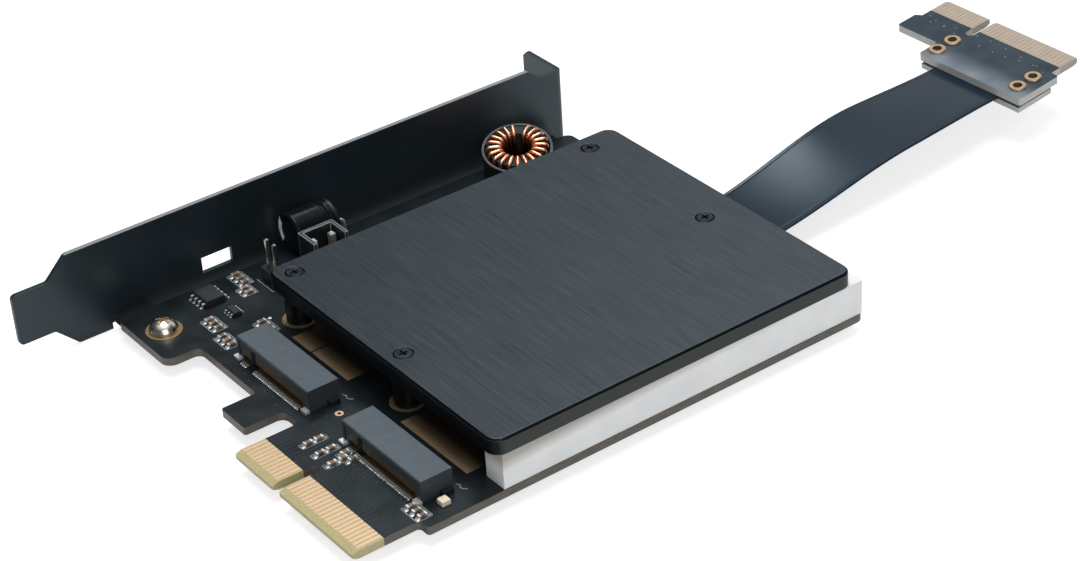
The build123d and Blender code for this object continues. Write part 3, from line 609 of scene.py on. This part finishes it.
def tube_grid(path, sideways, radius, around=12):
    """Round tube along a path: a circle in the plane of two vectors square to the path.

    Both ends are drawn to a point.
    """
    ahead = unit(np.gradient(path, axis=0))
    side = unit(sideways - np.sum(sideways * ahead, axis=-1, keepdims=True) * ahead)
    up = np.cross(ahead, side)
    turn = np.linspace(0, 2 * pi, around, endpoint=False)[None, :, None]
    ring = path[:, None, :] + radius * (np.cos(turn) * side[:, None, :] + np.sin(turn) * up[:, None, :])
    first = np.broadcast_to(path[:1, None, :], (1, around, 3))
    last = np.broadcast_to(path[-1:, None, :], (1, around, 3))
    return np.concatenate([first, ring, last])[None]


def leaning(upright):
    """Points of the upright choke, tipped about the collar's lowest edge."""
    edge = Matrix.Translation(choke_at) @ Matrix.Rotation(choke_lean, 4, "Z") @ \
        Matrix.Translation((collar_r, 0, 0))
    tip = np.array(edge @ Matrix.Rotation(choke_tilt, 4, "Y") @ Matrix.Translation((-collar_r, 0, 0)) @
                   Matrix.Rotation(-choke_lean, 4, "Z"))
    return upright @ tip[:3, :3].T + tip[:3, 3]


def winding_path():
    """Line of the wire: each turn is a rounded square round the core's section, up the inside first.

    The way round the ring stands still while the wire is inside, above and outside, and steps on below.
    """
    steps = np.linspace(0, wire_turns - wire_open, int(turn_samples * (wire_turns - wire_open)))
    done = np.floor(steps)
    share = steps - done
    corner = turn_start - 2 * pi * share
    half_w = (wire_outer - wire_inner) / 2
    half_h = (wire_high - wire_low) / 2
    out = (wire_outer + wire_inner) / 2 + \
        half_w * np.sign(np.cos(corner)) * np.abs(np.cos(corner)) ** turn_power
    up = (wire_high + wire_low) / 2 + \
        half_h * np.sign(np.sin(corner)) * np.abs(np.sin(corner)) ** turn_power
    below = np.clip((share - 1 + wire_open) / wire_open, 0, 1)
    step = (2 * pi - wire_gap) / (wire_turns - 1)
    way = wire_gap_dir + wire_gap / 2 + step * (done + below * below * (3 - 2 * below))
    turns = leaning(spots(out * np.cos(way), out * np.sin(way), up))
    sideways = spots(-np.sin(way), np.cos(way), 0)
    start_z = np.linspace(lead_end, turns[0, 2] - lead_drop, lead_samples)
    end_z = np.linspace(turns[-1, 2] - lead_drop, lead_end, lead_samples)
    path = np.concatenate([spots(*turns[0, :2], start_z), turns, spots(*turns[-1, :2], end_z)])
    sideways = np.concatenate([np.repeat(sideways[:1], lead_samples, axis=0), sideways,
                               np.repeat(sideways[-1:], lead_samples, axis=0)])
    return path, sideways


choke_axis = leaning(np.array([0, 0, 1])) - leaning(np.zeros(3))
# Painted shade: from this height down along the choke's axis the wire darkens.
wire_shade_line = -(choke_axis @ leaning(np.array([0, 0, wire_shade_top])))
enamelled_copper = plated("enamelled_copper", copper_bright, copper_deep, patch=2.2, rough=(0.2, 0.32),
                          metal=0.9, beyond=(copper_painted_shade, -choke_axis, wire_shade_line, wire_shade_fade))
enamelled_copper.node_tree.nodes["Principled BSDF"].inputs["Coat Weight"].default_value = enamel_coat
choke_wire = add_piece("choke_wire", tube_grid(*winding_path(), wire_r), enamelled_copper)
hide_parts("choke_winding")
dress(moulded("core_powder", core_dark, core_grey, grain=0.12, rough=(0.6, 0.8), relief=0.02, edge=0.2),
      "choke_core")
# The collar's rim takes a painted highlight.
dress(moulded("collar_plastic", collar_grey, collar_dark, grain=0.15, rough=(0.4, 0.55), relief=0.006,
              edge=0.16, rim=collar_rim_highlight), "choke_ring")

# Lying capacitor: an aluminium can in a shrunk black sleeve that laps over its front end.
# A bright crescent on one side of the front end is a painted highlight, the can is painted near black as a
# painted dark reflection, and the leads bend down into the board.
# Painted highlight: the bright crescent on the front end of the sleeve.
crescent_highlight = (0.84, 0.85, 0.86, 1)
sleeve_black = (0.0035, 0.0045, 0.0060, 1)
sleeve_blue = (0.0065, 0.0080, 0.0100, 1)
# The aluminium can is painted near black, a painted dark reflection.
can_painted_dark = (0.010, 0.011, 0.013, 1)
sleeve_patch = 3
can_low, can_high = (np.array(corner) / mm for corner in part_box("capacitor_sleeve"))
can_middle = (can_low + can_high) / 2
front_depth = 0.55
crescent_r = 4.4
crescent_shift = np.array([-6.2, 0, -0.35])
front_plane = np.array([1, 0, 1])


def sleeve_finish():
    """Shrunk film: glossy black, and a painted highlight in bright metal colour on its front end, inside a
    circle set off the axis.
    """
    finish, tree, shader, place = new_finish("sleeve_film", gloss=0.12)
    tint, cloud = clouded(tree, place, sleeve_patch, sleeve_black, sleeve_blue)
    front = worked(tree, "LESS_THAN", axes(tree, place)["Y"], (can_low[1] + front_depth) * mm)
    middle = (can_middle * front_plane + crescent_shift) * mm
    flat = put(tree, "ShaderNodeVectorMath", {0: place, 1: front_plane}, operation="MULTIPLY")
    away = put(tree, "ShaderNodeVectorMath", {0: flat.outputs[0], 1: middle}, operation="DISTANCE")
    inside = worked(tree, "LESS_THAN", away.outputs["Value"], crescent_r * mm)
    # The front end inside the circle takes the painted highlight.
    bare = worked(tree, "MULTIPLY", front, inside)
    tree.links.new(mixed(tree, bare, tint, crescent_highlight), shader.inputs["Base Color"])
    roughened(tree, shader, cloud, rough=(0.14, 0.24))
    grained(tree, shader, place, size=0.6, depth=0.006)
    return finish


# Painted dark reflection on the can.
dress(moulded("can_end", can_painted_dark, sleeve_black, grain=0.2, rough=(0.3, 0.45), relief=0.006, edge=0.2),
      "capacitor_can")
dress(sleeve_finish(), "capacitor_sleeve")
dress(tinned, "capacitor_leads")

# Two headers moulded in black nylon: a plain two-pin one and a taller shrouded one with an open side.
# The plain one's pins are gilt. The shroud's rim has a pale painted highlight, and its square pins are
# tinned.
nylon_black = (0.006, 0.0068, 0.0080, 1)
nylon_worn = (0.014, 0.016, 0.018, 1)
# Pale painted highlight along the shroud's edges.
shroud_rim_highlight = (0.42, 0.44, 0.45, 1)
pin_pale = (0.90, 0.84, 0.72, 1)
pin_warm = (0.82, 0.74, 0.60, 1)
dress(moulded("header_nylon", nylon_black, nylon_worn, grain=0.15, rough=(0.36, 0.5), relief=0.008,
              edge=0.12), "pin_header")
dress(plated("pin_gold", pin_pale, pin_warm, patch=4, rough=(0.22, 0.32)), "header_pins")
dress(moulded("shroud_nylon", nylon_black, nylon_worn, grain=0.15, rough=(0.36, 0.5), relief=0.008,
              edge=0.5, rim=shroud_rim_highlight), "shrouded_header")
dress(tinned, "shroud_pins")

# Two stick-drive sockets moulded in slate nylon, with a row of tails at the front that are gilt above
# and tinned at the foot, the gilt backs of their contacts let into the front, and a hold-down at each end.
socket_slate = (0.078, 0.093, 0.110, 1)
socket_dull = (0.065, 0.078, 0.093, 1)
# Painted shade on the sockets' sides.
socket_side_shade = (0.034, 0.042, 0.049, 1)
socket_patch = 1.6
socket_edge = 0.1
socket_front = 15.45
socket_middles = (-25.25, 7.9)
socket_key = -6.1
key_clear = 1.01
tail_pitch = 0.5
tail_last = 18
tail_gilt = (0.20, 0.135, 0.060, 1)
tail_tin = (0.56, 0.565, 0.57, 1)
tail_dull = (0.40, 0.41, 0.42, 1)
tail_foot_y = 15.1
tail_tip_y = 14.6
gilt_fade = 0.02
# Painted shade on the hold-downs behind the sockets' front.
hold_down_painted_shade = (0.026, 0.032, 0.038, 1)
hold_down_shade_fade = 0.5
row_brown = (0.165, 0.122, 0.064, 1)
row_dark = (0.110, 0.080, 0.044, 1)
row_low = 2.1
row_high = 3.35
row_proud = 0.05
row_wide = 0.3


def socket_finish():
    """Socket nylon: a matt slate top, and sides in painted shade, by the way the face looks."""
    finish, tree, shader, place = new_finish("socket_nylon", gloss=0.4)
    tint, cloud = clouded(tree, place, socket_patch, socket_slate, socket_dull)
    normal = rounded_edge(tree, socket_edge)[0]
    level = ranged(tree, axes(tree, normal)["Z"], start=0.4, stop=0.9)
    # Sides in painted shade, by how far the face turns from upward.
    tree.links.new(mixed(tree, level, socket_side_shade, tint), shader.inputs["Base Color"])
    roughened(tree, shader, cloud, rough=(0.42, 0.55))
    grained(tree, shader, place, size=0.12, depth=0.006, normal=normal)
    return finish


dress(socket_finish(), "drive_socket_left", "drive_socket_right")
dress(plated("socket_tail", tail_tin, tail_dull, patch=0.5, rough=(0.28, 0.42), metal=0.75,
             beyond=(tail_gilt, inward, tail_foot_y, gilt_fade)),
      "socket_contacts_left", "socket_contacts_right")
# The hold-downs turn to painted shade behind the sockets' front.
dress(plated("hold_down_tin", tin_bright, tin_dull, patch=1.2, rough=(0.28, 0.42), metal=0.6,
             beyond=(hold_down_painted_shade, inward, socket_front, hold_down_shade_fade)), "socket_hold_downs")
tail_offsets = np.arange(-tail_last, tail_last + 1) * tail_pitch
tail_offsets = tail_offsets[np.abs(tail_offsets - socket_key) > key_clear]
tail_xs = np.concatenate([middle + tail_offsets for middle in socket_middles])
tail_tips = spots(tail_xs, tail_tip_y)
tail_ways = np.full(len(tail_xs), -1.0)
tail_solder = plated("tail_solder", tail_tin, tail_dull, patch=0.5, rough=(0.3, 0.42), metal=0.6)
tail_fillets = fillets(tail_tips, tail_ways, half_width=0.15, reach=0.35, height=0.16)
add_piece("tail_solder", tail_fillets, tail_solder, close_rows=True)
row_gilt = plated("row_gilt", row_brown, row_dark, patch=0.6, rough=(0.36, 0.5), metal=0.5)
row_lows = spots(tail_xs - row_wide / 2, socket_front - row_proud, row_low)
row_highs = spots(tail_xs + row_wide / 2, socket_front + row_proud, row_high)
add_piece("contact_rows", block_grid(row_lows, row_highs), row_gilt, smooth_to=30)

# Posts for the drives' ends, turned from brass with a nickel skin, and black spacers for the cover.
# Both stand on the board, and the cover's screws go down into the spacers.
nickel_pale = (0.62, 0.59, 0.54, 1)
nickel_grey = (0.48, 0.46, 0.43, 1)
spacer_black = (0.006, 0.0065, 0.0075, 1)
spacer_grey = (0.013, 0.014, 0.015, 1)
dress(plated("nickel_skin", nickel_pale, nickel_grey, patch=1.5, rough=(0.24, 0.38)), "drive_posts")
dress(plated("spacer_dyed", spacer_black, spacer_grey, patch=1.5, rough=(0.3, 0.42), metal=0.5),
      "cover_spacers")

# Light bar: one length of milky acrylic along the card's edge, sawn at the ends, over the lamps in a pocket
# on its under side. Painted shade darkens it along the top, under the cover's edge, fading out toward its
# free far end.
# The status light is a small block of cream resin.
milk_white = (0.84, 0.845, 0.85, 1)
milk_grey = (0.75, 0.76, 0.77, 1)
# Painted shade along the bar's top, under the cover's edge.
milk_painted_shade = (0.40, 0.385, 0.35, 1)
milk_depth = 0.25
milk_scatter = 1.5
shade_fade = 2.3
shade_slope = 0.046
shade_until = 50
bar_top = min(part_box("light_bar")[1][2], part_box("cover_plate")[0][2]) / mm
shade_line = bar_top - shade_fade - shade_slope * shade_until
# The top of the bar turns to painted shade, less toward the far end.
milky_acrylic = moulded("milky_acrylic", milk_white, milk_grey, grain=0.6, rough=(0.3, 0.42), relief=0.004,
                        edge=0.2, beyond=(milk_painted_shade, (0, -shade_slope, 1), shade_line, shade_fade))
milky_shader = milky_acrylic.node_tree.nodes["Principled BSDF"]
milky_shader.inputs["Subsurface Weight"].default_value = milk_depth
milky_shader.inputs["Subsurface Scale"].default_value = milk_scatter * mm
led_cream = (0.78, 0.63, 0.47, 1)
led_white = (0.82, 0.74, 0.62, 1)
dress(milky_acrylic, "light_bar")
dress(moulded("led_resin", led_cream, led_white, grain=0.1, rough=(0.25, 0.35), relief=0.003, edge=0.1),
      "bar_leds", "status_light")

# Cover plate: three millimetres of aluminium, brushed along the connector's way and dyed near black,
# with a narrow milled bevel. Four dyed screws sit in counterbores over the spacers.
plate_dark = (0.029, 0.038, 0.046, 1)
plate_light = (0.072, 0.087, 0.099, 1)
# Painted shade on the plate's sides, painted light on the side over the light bar, and a painted highlight on
# the bevel.
plate_side_shade = (0.012, 0.016, 0.020, 1)
plate_flank_light = (0.056, 0.062, 0.060, 1)
bevel_highlight = (0.15, 0.17, 0.185, 1)
bevel_width = 0.16
top_above = 0.95
# Painted light: the top of the plate grows paler from the front to the back.
light_from_y = 22
light_to_y = 108
light_share = 0.6
streak_share = 0.6
brush_length = 9
brush_width = 0.13
brush_depth = 0.008
wide_length = 12.6
wide_width = 0.455
screw_black = (0.024, 0.030, 0.036, 1)
screw_grey = (0.055, 0.065, 0.075, 1)


def build_brushed():
    """Streaks of a brushed face: noise drawn out along X and narrow across it."""
    group, given, result = new_group("brushed", {"Vector": point, "Length": number, "Width": number},
                                     {"Value": number})
    along = worked(group, "DIVIDE", 1.0, given["Length"])
    across = worked(group, "DIVIDE", 1.0, given["Width"])
    scale = put(group, "ShaderNodeCombineXYZ", {"X": along, "Y": across, "Z": across})
    drawn = put(group, "ShaderNodeVectorMath", {0: given["Vector"], 1: scale.outputs[0]},
                operation="MULTIPLY")
    noise = put(group, "ShaderNodeTexNoise", {"Vector": drawn.outputs[0], "Scale": 1.0, "Detail": 3.0})
    group.links.new(noise.outputs[0], result["Value"])
    return group


brushed = build_brushed()


def streaks(tree, place, length, width):
    """The brushed group in a finish, with its length and width in millimetres."""
    return put(tree, "ShaderNodeGroup", {"Vector": place, "Length": length * mm, "Width": width * mm},
               node_tree=brushed).outputs["Value"]


def plate_finish():
    """Brushed plate: wide and narrow streaks in tint, roughness and relief, sides in painted shade and a
    painted highlight along the bevel.

    Painted light makes the top a little paler from the front to the back, and painted light makes the side
    over the light bar paler too.
    """
    finish, tree, shader, place = new_finish("plate_metal", metal=1.0)
    narrow = streaks(tree, place, brush_length, brush_width)
    wide = streaks(tree, place, wide_length, wide_width)
    total = worked(tree, "ADD", narrow, wide)
    spread = ranged(tree, total, start=0.7, stop=1.3, high=streak_share)
    # Painted light rising from the front to the back.
    painted_light = ranged(tree, axes(tree, place)["Y"], light_from_y * mm, light_to_y * mm, high=light_share)
    tint = mixed(tree, worked(tree, "ADD", spread, painted_light), plate_dark, plate_light)
    face = put(tree, "ShaderNodeNewGeometry")
    looks = axes(tree, face.outputs["True Normal"])
    # Sides in painted shade, and painted light on the side that faces the light bar.
    painted_sides = mixed(tree, ranged(tree, looks["X"], start=0.8, stop=0.99), plate_side_shade, plate_flank_light)
    sided = mixed(tree, worked(tree, "GREATER_THAN", looks["Z"], top_above), painted_sides, tint)
    normal, mask = rounded_edge(tree, bevel_width)
    # The bevel takes a painted highlight along the edge mask.
    tree.links.new(mixed(tree, mask, sided, bevel_highlight), shader.inputs["Base Color"])
    roughened(tree, shader, narrow, rough=(0.34, 0.5))
    bumped(tree, shader, total, brush_depth, normal)
    return finish


dress(plate_finish(), "cover_plate")
dress(plated("screw_dyed", screw_black, screw_grey, patch=1.2, rough=(0.3, 0.45)), "cover_screws")

# Slot bracket: sheet steel, punched and bent, with a black coat that shines a little,
# and two bright screws with domed cross heads that hold its ears to the board.
coat_black = (0.0090, 0.0138, 0.0178, 1)
coat_blue = (0.0120, 0.0185, 0.0250, 1)
# Painted highlight along the bracket's edges.
coat_edge_highlight = (0.026, 0.031, 0.035, 1)
# Painted highlight along the bracket's top edge.
coat_top_highlight = (0.24, 0.25, 0.26, 1)
top_highlight_z = 15.45
coat_patch = 14
coat_edge = 0.14
peel_size = 0.35
peel_depth = 0.004
# Past this X and below the board's top, the ears' bends are in painted shade.
ear_shade_x = -64.05
steel_warm = (0.82, 0.74, 0.64, 1)
steel_grey = (0.66, 0.60, 0.54, 1)


def coat_finish():
    """Coated steel: two close tints, a fine orange-peel relief, and a painted highlight along the edges.

    On the cut edge along the top a brighter painted highlight, and in the bends of the ears, below the
    board's top, painted shade that is black and matt.
    """
    finish, tree, shader, place = new_finish("bracket_coat", gloss=0.75)
    tint, cloud = clouded(tree, place, coat_patch, coat_black, coat_blue)
    normal, mask = rounded_edge(tree, coat_edge)
    split = axes(tree, place)
    # The top edge takes a painted highlight.
    cut = worked(tree, "GREATER_THAN", split["Z"], top_highlight_z * mm)
    # Edges, then the top edge, take painted highlights.
    edge_lit = mixed(tree, cut, mixed(tree, mask, tint, coat_edge_highlight), coat_top_highlight)
    # Painted shade: the bends of the ears under the board are painted black and matt.
    bend = worked(tree, "MULTIPLY", worked(tree, "GREATER_THAN", split["X"], ear_shade_x * mm),
                  worked(tree, "LESS_THAN", split["Z"], board_top * mm))
    tree.links.new(mixed(tree, bend, edge_lit, black), shader.inputs["Base Color"])
    sheen = roughened(tree, shader, cloud, rough=(0.3, 0.38))
    tree.links.new(worked(tree, "MAXIMUM", sheen, bend), shader.inputs["Roughness"])
    grained(tree, shader, place, peel_size, peel_depth, normal)
    return finish


dress(coat_finish(), "slot_bracket")
dress(plated("bright_screw", steel_warm, steel_grey, patch=1.5, rough=(0.16, 0.28)), "bracket_screws")

# Ribbon: a flat cable with a smooth blue-black jacket, tied down on the board under the cover's far edge.
# It rises, arches and twists a little on its way to the plug, where two boards clamp its end.
film_dark = (0.0036, 0.0125, 0.0235, 1)
film_blue = (0.0064, 0.0180, 0.0315, 1)
ribbon_w = 17.2
ribbon_t = 0.6
ribbon_start = np.array([-12.0, 104.6, 1.085])
ribbon_root = 5.0
ribbon_arch = 1.0
ribbon_twist = radians(6.5)
ribbon_inside = 9.5
rise_share = 1.6
joined_from = 6 / 7
welt_in = 0.75
welt_width = 0.16
welt_depth = 0.07
plug_origin = (-27.3, 190.5, 8.8)
plug_swing = radians(2)
plug_tilt = radians(5.5)
clamp_mouth = np.array([10.05, -19.5, -1.085])
plug_place = Matrix.Translation(plug_origin) @ Matrix.Rotation(plug_swing, 4, "Z") @ \
    Matrix.Rotation(plug_tilt, 4, "X")
plug_turn = np.array(plug_place.to_3x3())
plug_at = np.array(plug_place.translation)
ribbon_end = plug_turn @ clamp_mouth + plug_at


def flat_section(samples=110, edge=7):
    """Section of a flat cable: two straight faces joined by half-round edges, as (across, up) points.

    A narrow groove, a bell curve in depth, runs beside each edge.
    """
    r = ribbon_t / 2
    reach = ribbon_w / 2 - r
    across = np.linspace(reach, -reach, samples)
    groove = welt_depth * np.exp(-((np.abs(across) - ribbon_w / 2 + welt_in) / welt_width) ** 2)
    turn = np.linspace(pi / 2, 3 * pi / 2, edge + 2)[1:-1]
    left = spots(-reach + r * np.cos(turn), r * np.sin(turn))
    half = np.concatenate([spots(across, r - groove), left])
    return np.concatenate([half, -half])


def ribbon_grid(rows=90):
    """Cable from root to plug: the section stands upright on a line that runs evenly along Y.

    Along X the line goes with the square of the way, along Z it eases up by a cosine and arches by a sine.
    The roll grows with the sine squared, and the last stretch takes on the plug's own turn.
    """
    way = np.linspace(0, 1, rows)
    span = ribbon_end - ribbon_start
    ease = 0.5 - 0.5 * np.cos(pi * np.minimum(1, rise_share * way))
    line = ribbon_start + spots(span[0] * way ** 2, span[1] * way,
                                 span[2] * ease + ribbon_arch * np.sin(pi * way))
    roll = ribbon_twist * np.sin(pi * way) ** 2
    side = spots(np.cos(roll), 0, -np.sin(roll))
    up = spots(np.sin(roll), 0, np.cos(roll))
    joined = np.clip((way - joined_from) / (1 - joined_from), 0, 1)[:, None]
    joined = joined * joined * (3 - 2 * joined)
    side = unit(side + joined * (plug_turn[:, 0] - side))
    up = unit(up + joined * (plug_turn[:, 2] - up))
    root = (ribbon_start - (0, ribbon_root, 0))[None]
    tongue = (ribbon_end + ribbon_inside * plug_turn[:, 1])[None]
    line = np.concatenate([root, root, line, tongue, tongue])
    side = np.concatenate([side[:1], side[:1], side, side[-1:], side[-1:]])
    up = np.concatenate([up[:1], up[:1], up, up[-1:], up[-1:]])
    section = flat_section()
    closing = np.ones((len(line), 1, 1))
    closing[[0, -1]] = 0
    spread = section[:, :1] * side[:, None, :] + section[:, 1:] * up[:, None, :]
    return (line[:, None, :] + closing * spread)[None]


ribbon_film = moulded("ribbon_film", film_dark, film_blue, grain=5, rough=(0.2, 0.28), relief=0.004,
                      edge=0.05, gloss=0.33)
ribbon = add_piece("ribbon", ribbon_grid(), ribbon_film)
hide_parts("ribbon_cable")

# Plug: a board with the same edge contacts as the card and a clamp board below it,
# drawn together over the ribbon's end by four rolled brass eyelets.
# Small plated holes are scattered between the contacts and the eyelets.
plug_navy = (0.009, 0.019, 0.031, 1)
plug_sheen = (0.026, 0.042, 0.058, 1)
# Painted highlight: a paler patch on the plug near the ribbon's end.
plug_painted_highlight = (0.29, 0.335, 0.38, 1)
plug_highlight_lines = (-12.5, -19)
plug_side_grey = (0.36, 0.36, 0.355, 1)
plug_side_pale = (0.60, 0.60, 0.59, 1)
plug_tongue_rose = (0.42, 0.36, 0.29, 1)
plug_tongue_grey = (0.33, 0.29, 0.24, 1)
plug_mask_end = -5.4
plug_gold_pale = (0.46, 0.375, 0.30, 1)
plug_gold_warm = (0.39, 0.31, 0.245, 1)
brass_tan = (0.62, 0.48, 0.32, 1)
brass_deep = (0.44, 0.32, 0.195, 1)
# Each stretch of holes along the plug's X: its start, its end and its number.
speck_stretches = ((-11.2, -2.6, 7), (2.2, 21.0, 11))
speck_sway = 0.7
speck_beat = 2.6
speck_level = -6.6
speck_depth = 2.9
depth_beat = 1.7
depth_start = 0.4


def plug_local(tree, place):
    """Object coordinates turned back into the plug board's own frame."""
    back = put(tree, "ShaderNodeMapping", {"Vector": place, "Location": plug_place.translation * mm,
                                           "Rotation": plug_place.to_euler()}, vector_type="TEXTURE")
    return back.outputs[0]


plug_mask = board_finish("plug_mask", plug_local, (plug_navy, plug_sheen), (plug_side_grey, plug_side_pale),
                         (plug_tongue_grey, plug_tongue_rose), "GREATER_THAN", plug_mask_end,
                         painted_highlight=(plug_painted_highlight, *plug_highlight_lines))
dress(plug_mask, "plug_board", "clamp_board")
dress(plated("plug_gold", plug_gold_pale, plug_gold_warm, patch=3, rough=(0.36, 0.46), metal=0.35),
      "plug_contacts")
dress(plated("eyelet_brass", brass_tan, brass_deep, patch=1.0, rough=(0.26, 0.4), metal=0.9), "plug_eyelets")
speck_row = np.concatenate([np.linspace(*stretch) for stretch in speck_stretches])
speck_turn = np.arange(len(speck_row))
speck_x = speck_row + speck_sway * np.sin(speck_turn * speck_beat)
speck_y = speck_level - speck_depth * np.sin(speck_turn * depth_beat + depth_start) ** 2
specks = dome_grid(spots(speck_x, speck_y), radius=0.15, height=0.04)
add_piece("plug_holes", specks @ plug_turn.T + plug_at, screen_ink)

# Studio: a white floor just under the card, a white room that dims toward the horizon in reflections,
# and large soft lamps above, behind and to the right.
floor_half = 3.0
floor_gap = 0.0002
floor_z = cad_box[0][2] - floor_gap
floor_white = 0.75
floor_seen = 0.48
floor_lift = 0.72
room_light = 0.34
gloss_low = 0.10
gloss_high = 1.0
dim_below = 0.68
full_above = 0.94
card_middle = np.array((-0.01, 0.08, 0.0))


def seen_by(tree):
    """Masks of rays: one for the camera's and transmission's, and one for those of gloss."""
    path = put(tree, "ShaderNodeLightPath").outputs
    eye_rays = worked(tree, "MAXIMUM", path["Is Camera Ray"], path["Is Transmission Ray"])
    return eye_rays, path["Is Glossy Ray"]


def between(tree, factor, first, second):
    """Number between two, by a varying factor."""
    return put(tree, "ShaderNodeMix", {0: factor, 2: first, 3: second}, data_type="FLOAT").outputs[0]


def floor_finish():
    """White matt floor, lifted to white where the eye sees it, so that its shade stays faint."""
    finish = bpy.data.materials.new("floor_white")
    finish.use_nodes = True
    tree = finish.node_tree
    tree.nodes.remove(tree.nodes["Principled BSDF"])
    eye_rays = seen_by(tree)[0]
    matt = put(tree, "ShaderNodeBsdfDiffuse", {"Color": between(tree, eye_rays, floor_white, floor_seen)})
    glow = put(tree, "ShaderNodeEmission", {"Strength": worked(tree, "MULTIPLY", eye_rays, floor_lift)})
    sum_of = put(tree, "ShaderNodeAddShader", {0: matt.outputs[0], 1: glow.outputs[0]})
    tree.links.new(sum_of.outputs[0], tree.nodes["Material Output"].inputs["Surface"])
    return finish


def light_room():
    """Room: white to the eye, dimmer to gloss near the horizon, and an even plain light on the object."""
    room = bpy.data.worlds.new("room")
    scene.world = room
    room.use_nodes = True
    tree = room.node_tree
    eye_rays, gloss_rays = seen_by(tree)
    height = axes(tree, put(tree, "ShaderNodeTexCoord").outputs["Generated"])["Z"]
    sky = ranged(tree, height, dim_below, full_above, gloss_low, gloss_high)
    strength = between(tree, eye_rays, between(tree, gloss_rays, room_light, sky), 1.0)
    tree.nodes["Background"].inputs["Color"].default_value = white
    tree.links.new(strength, tree.nodes["Background"].inputs["Strength"])


def standing(right, over, back, place):
    """Matrix of a thing at a place, from the three ways it is turned."""
    return Matrix(np.column_stack([right, over, back, place]).tolist() + [[0, 0, 0, 1]])


def add_lamp(name, offset, side, power):
    """Square soft lamp at an offset from the card's middle, which it looks at."""
    lamp = bpy.data.lights.new(name, "AREA")
    lamp.size = side
    lamp.energy = power
    holder = bpy.data.objects.new(name, lamp)
    back = unit(np.array(offset))
    right = unit(np.cross((0, 1, 0), back))
    holder.matrix_world = standing(right, np.cross(back, right), back, card_middle + offset)
    scene.collection.objects.link(holder)


floor_mesh = bpy.data.meshes.new("floor")
floor_corners = ((-floor_half, -floor_half), (floor_half, -floor_half), (floor_half, floor_half),
                 (-floor_half, floor_half))
floor_mesh.from_pydata([(x, y, floor_z) for x, y in floor_corners], [], [(0, 1, 2, 3)])
floor_mesh.materials.append(floor_finish())
floor = bpy.data.objects.new("floor", floor_mesh)
scene.collection.objects.link(floor)
light_room()
add_lamp("high_lamp", (-0.06, 0.04, 0.85), side=0.45, power=4.0)
add_lamp("gleam_lamp", (-0.42, 0.22, 0.80), side=0.24, power=2.1)
add_lamp("far_lamp", (-0.30, 0.80, 0.50), side=0.9, power=1.6)
add_lamp("near_lamp", (0.75, -0.30, 0.50), side=0.6, power=2.4)

# Camera: a long lens at the photograph's view, with the picture shifted a little sideways.
# Its place and its three ways were worked out from the standard sizes of the card's parts.
eye = (0.302923, -0.156823, 0.252297)
eye_right = (0.627162, 0.778272, -0.030977)
eye_up = (-0.403292, 0.358499, 0.841923)
eye_back = (0.66635, -0.51553, 0.538708)
view = bpy.data.cameras.new("view")
view.sensor_width = 36
view.lens = 86.43
view.shift_x = -0.10
view.clip_start = 0.01
camera = bpy.data.objects.new("view", view)
camera.matrix_world = standing(eye_right, eye_up, eye_back, eye)
scene.collection.objects.link(camera)
bpy.context.scene.camera = camera
bpy.context.scene.view_settings.view_transform = "Standard"
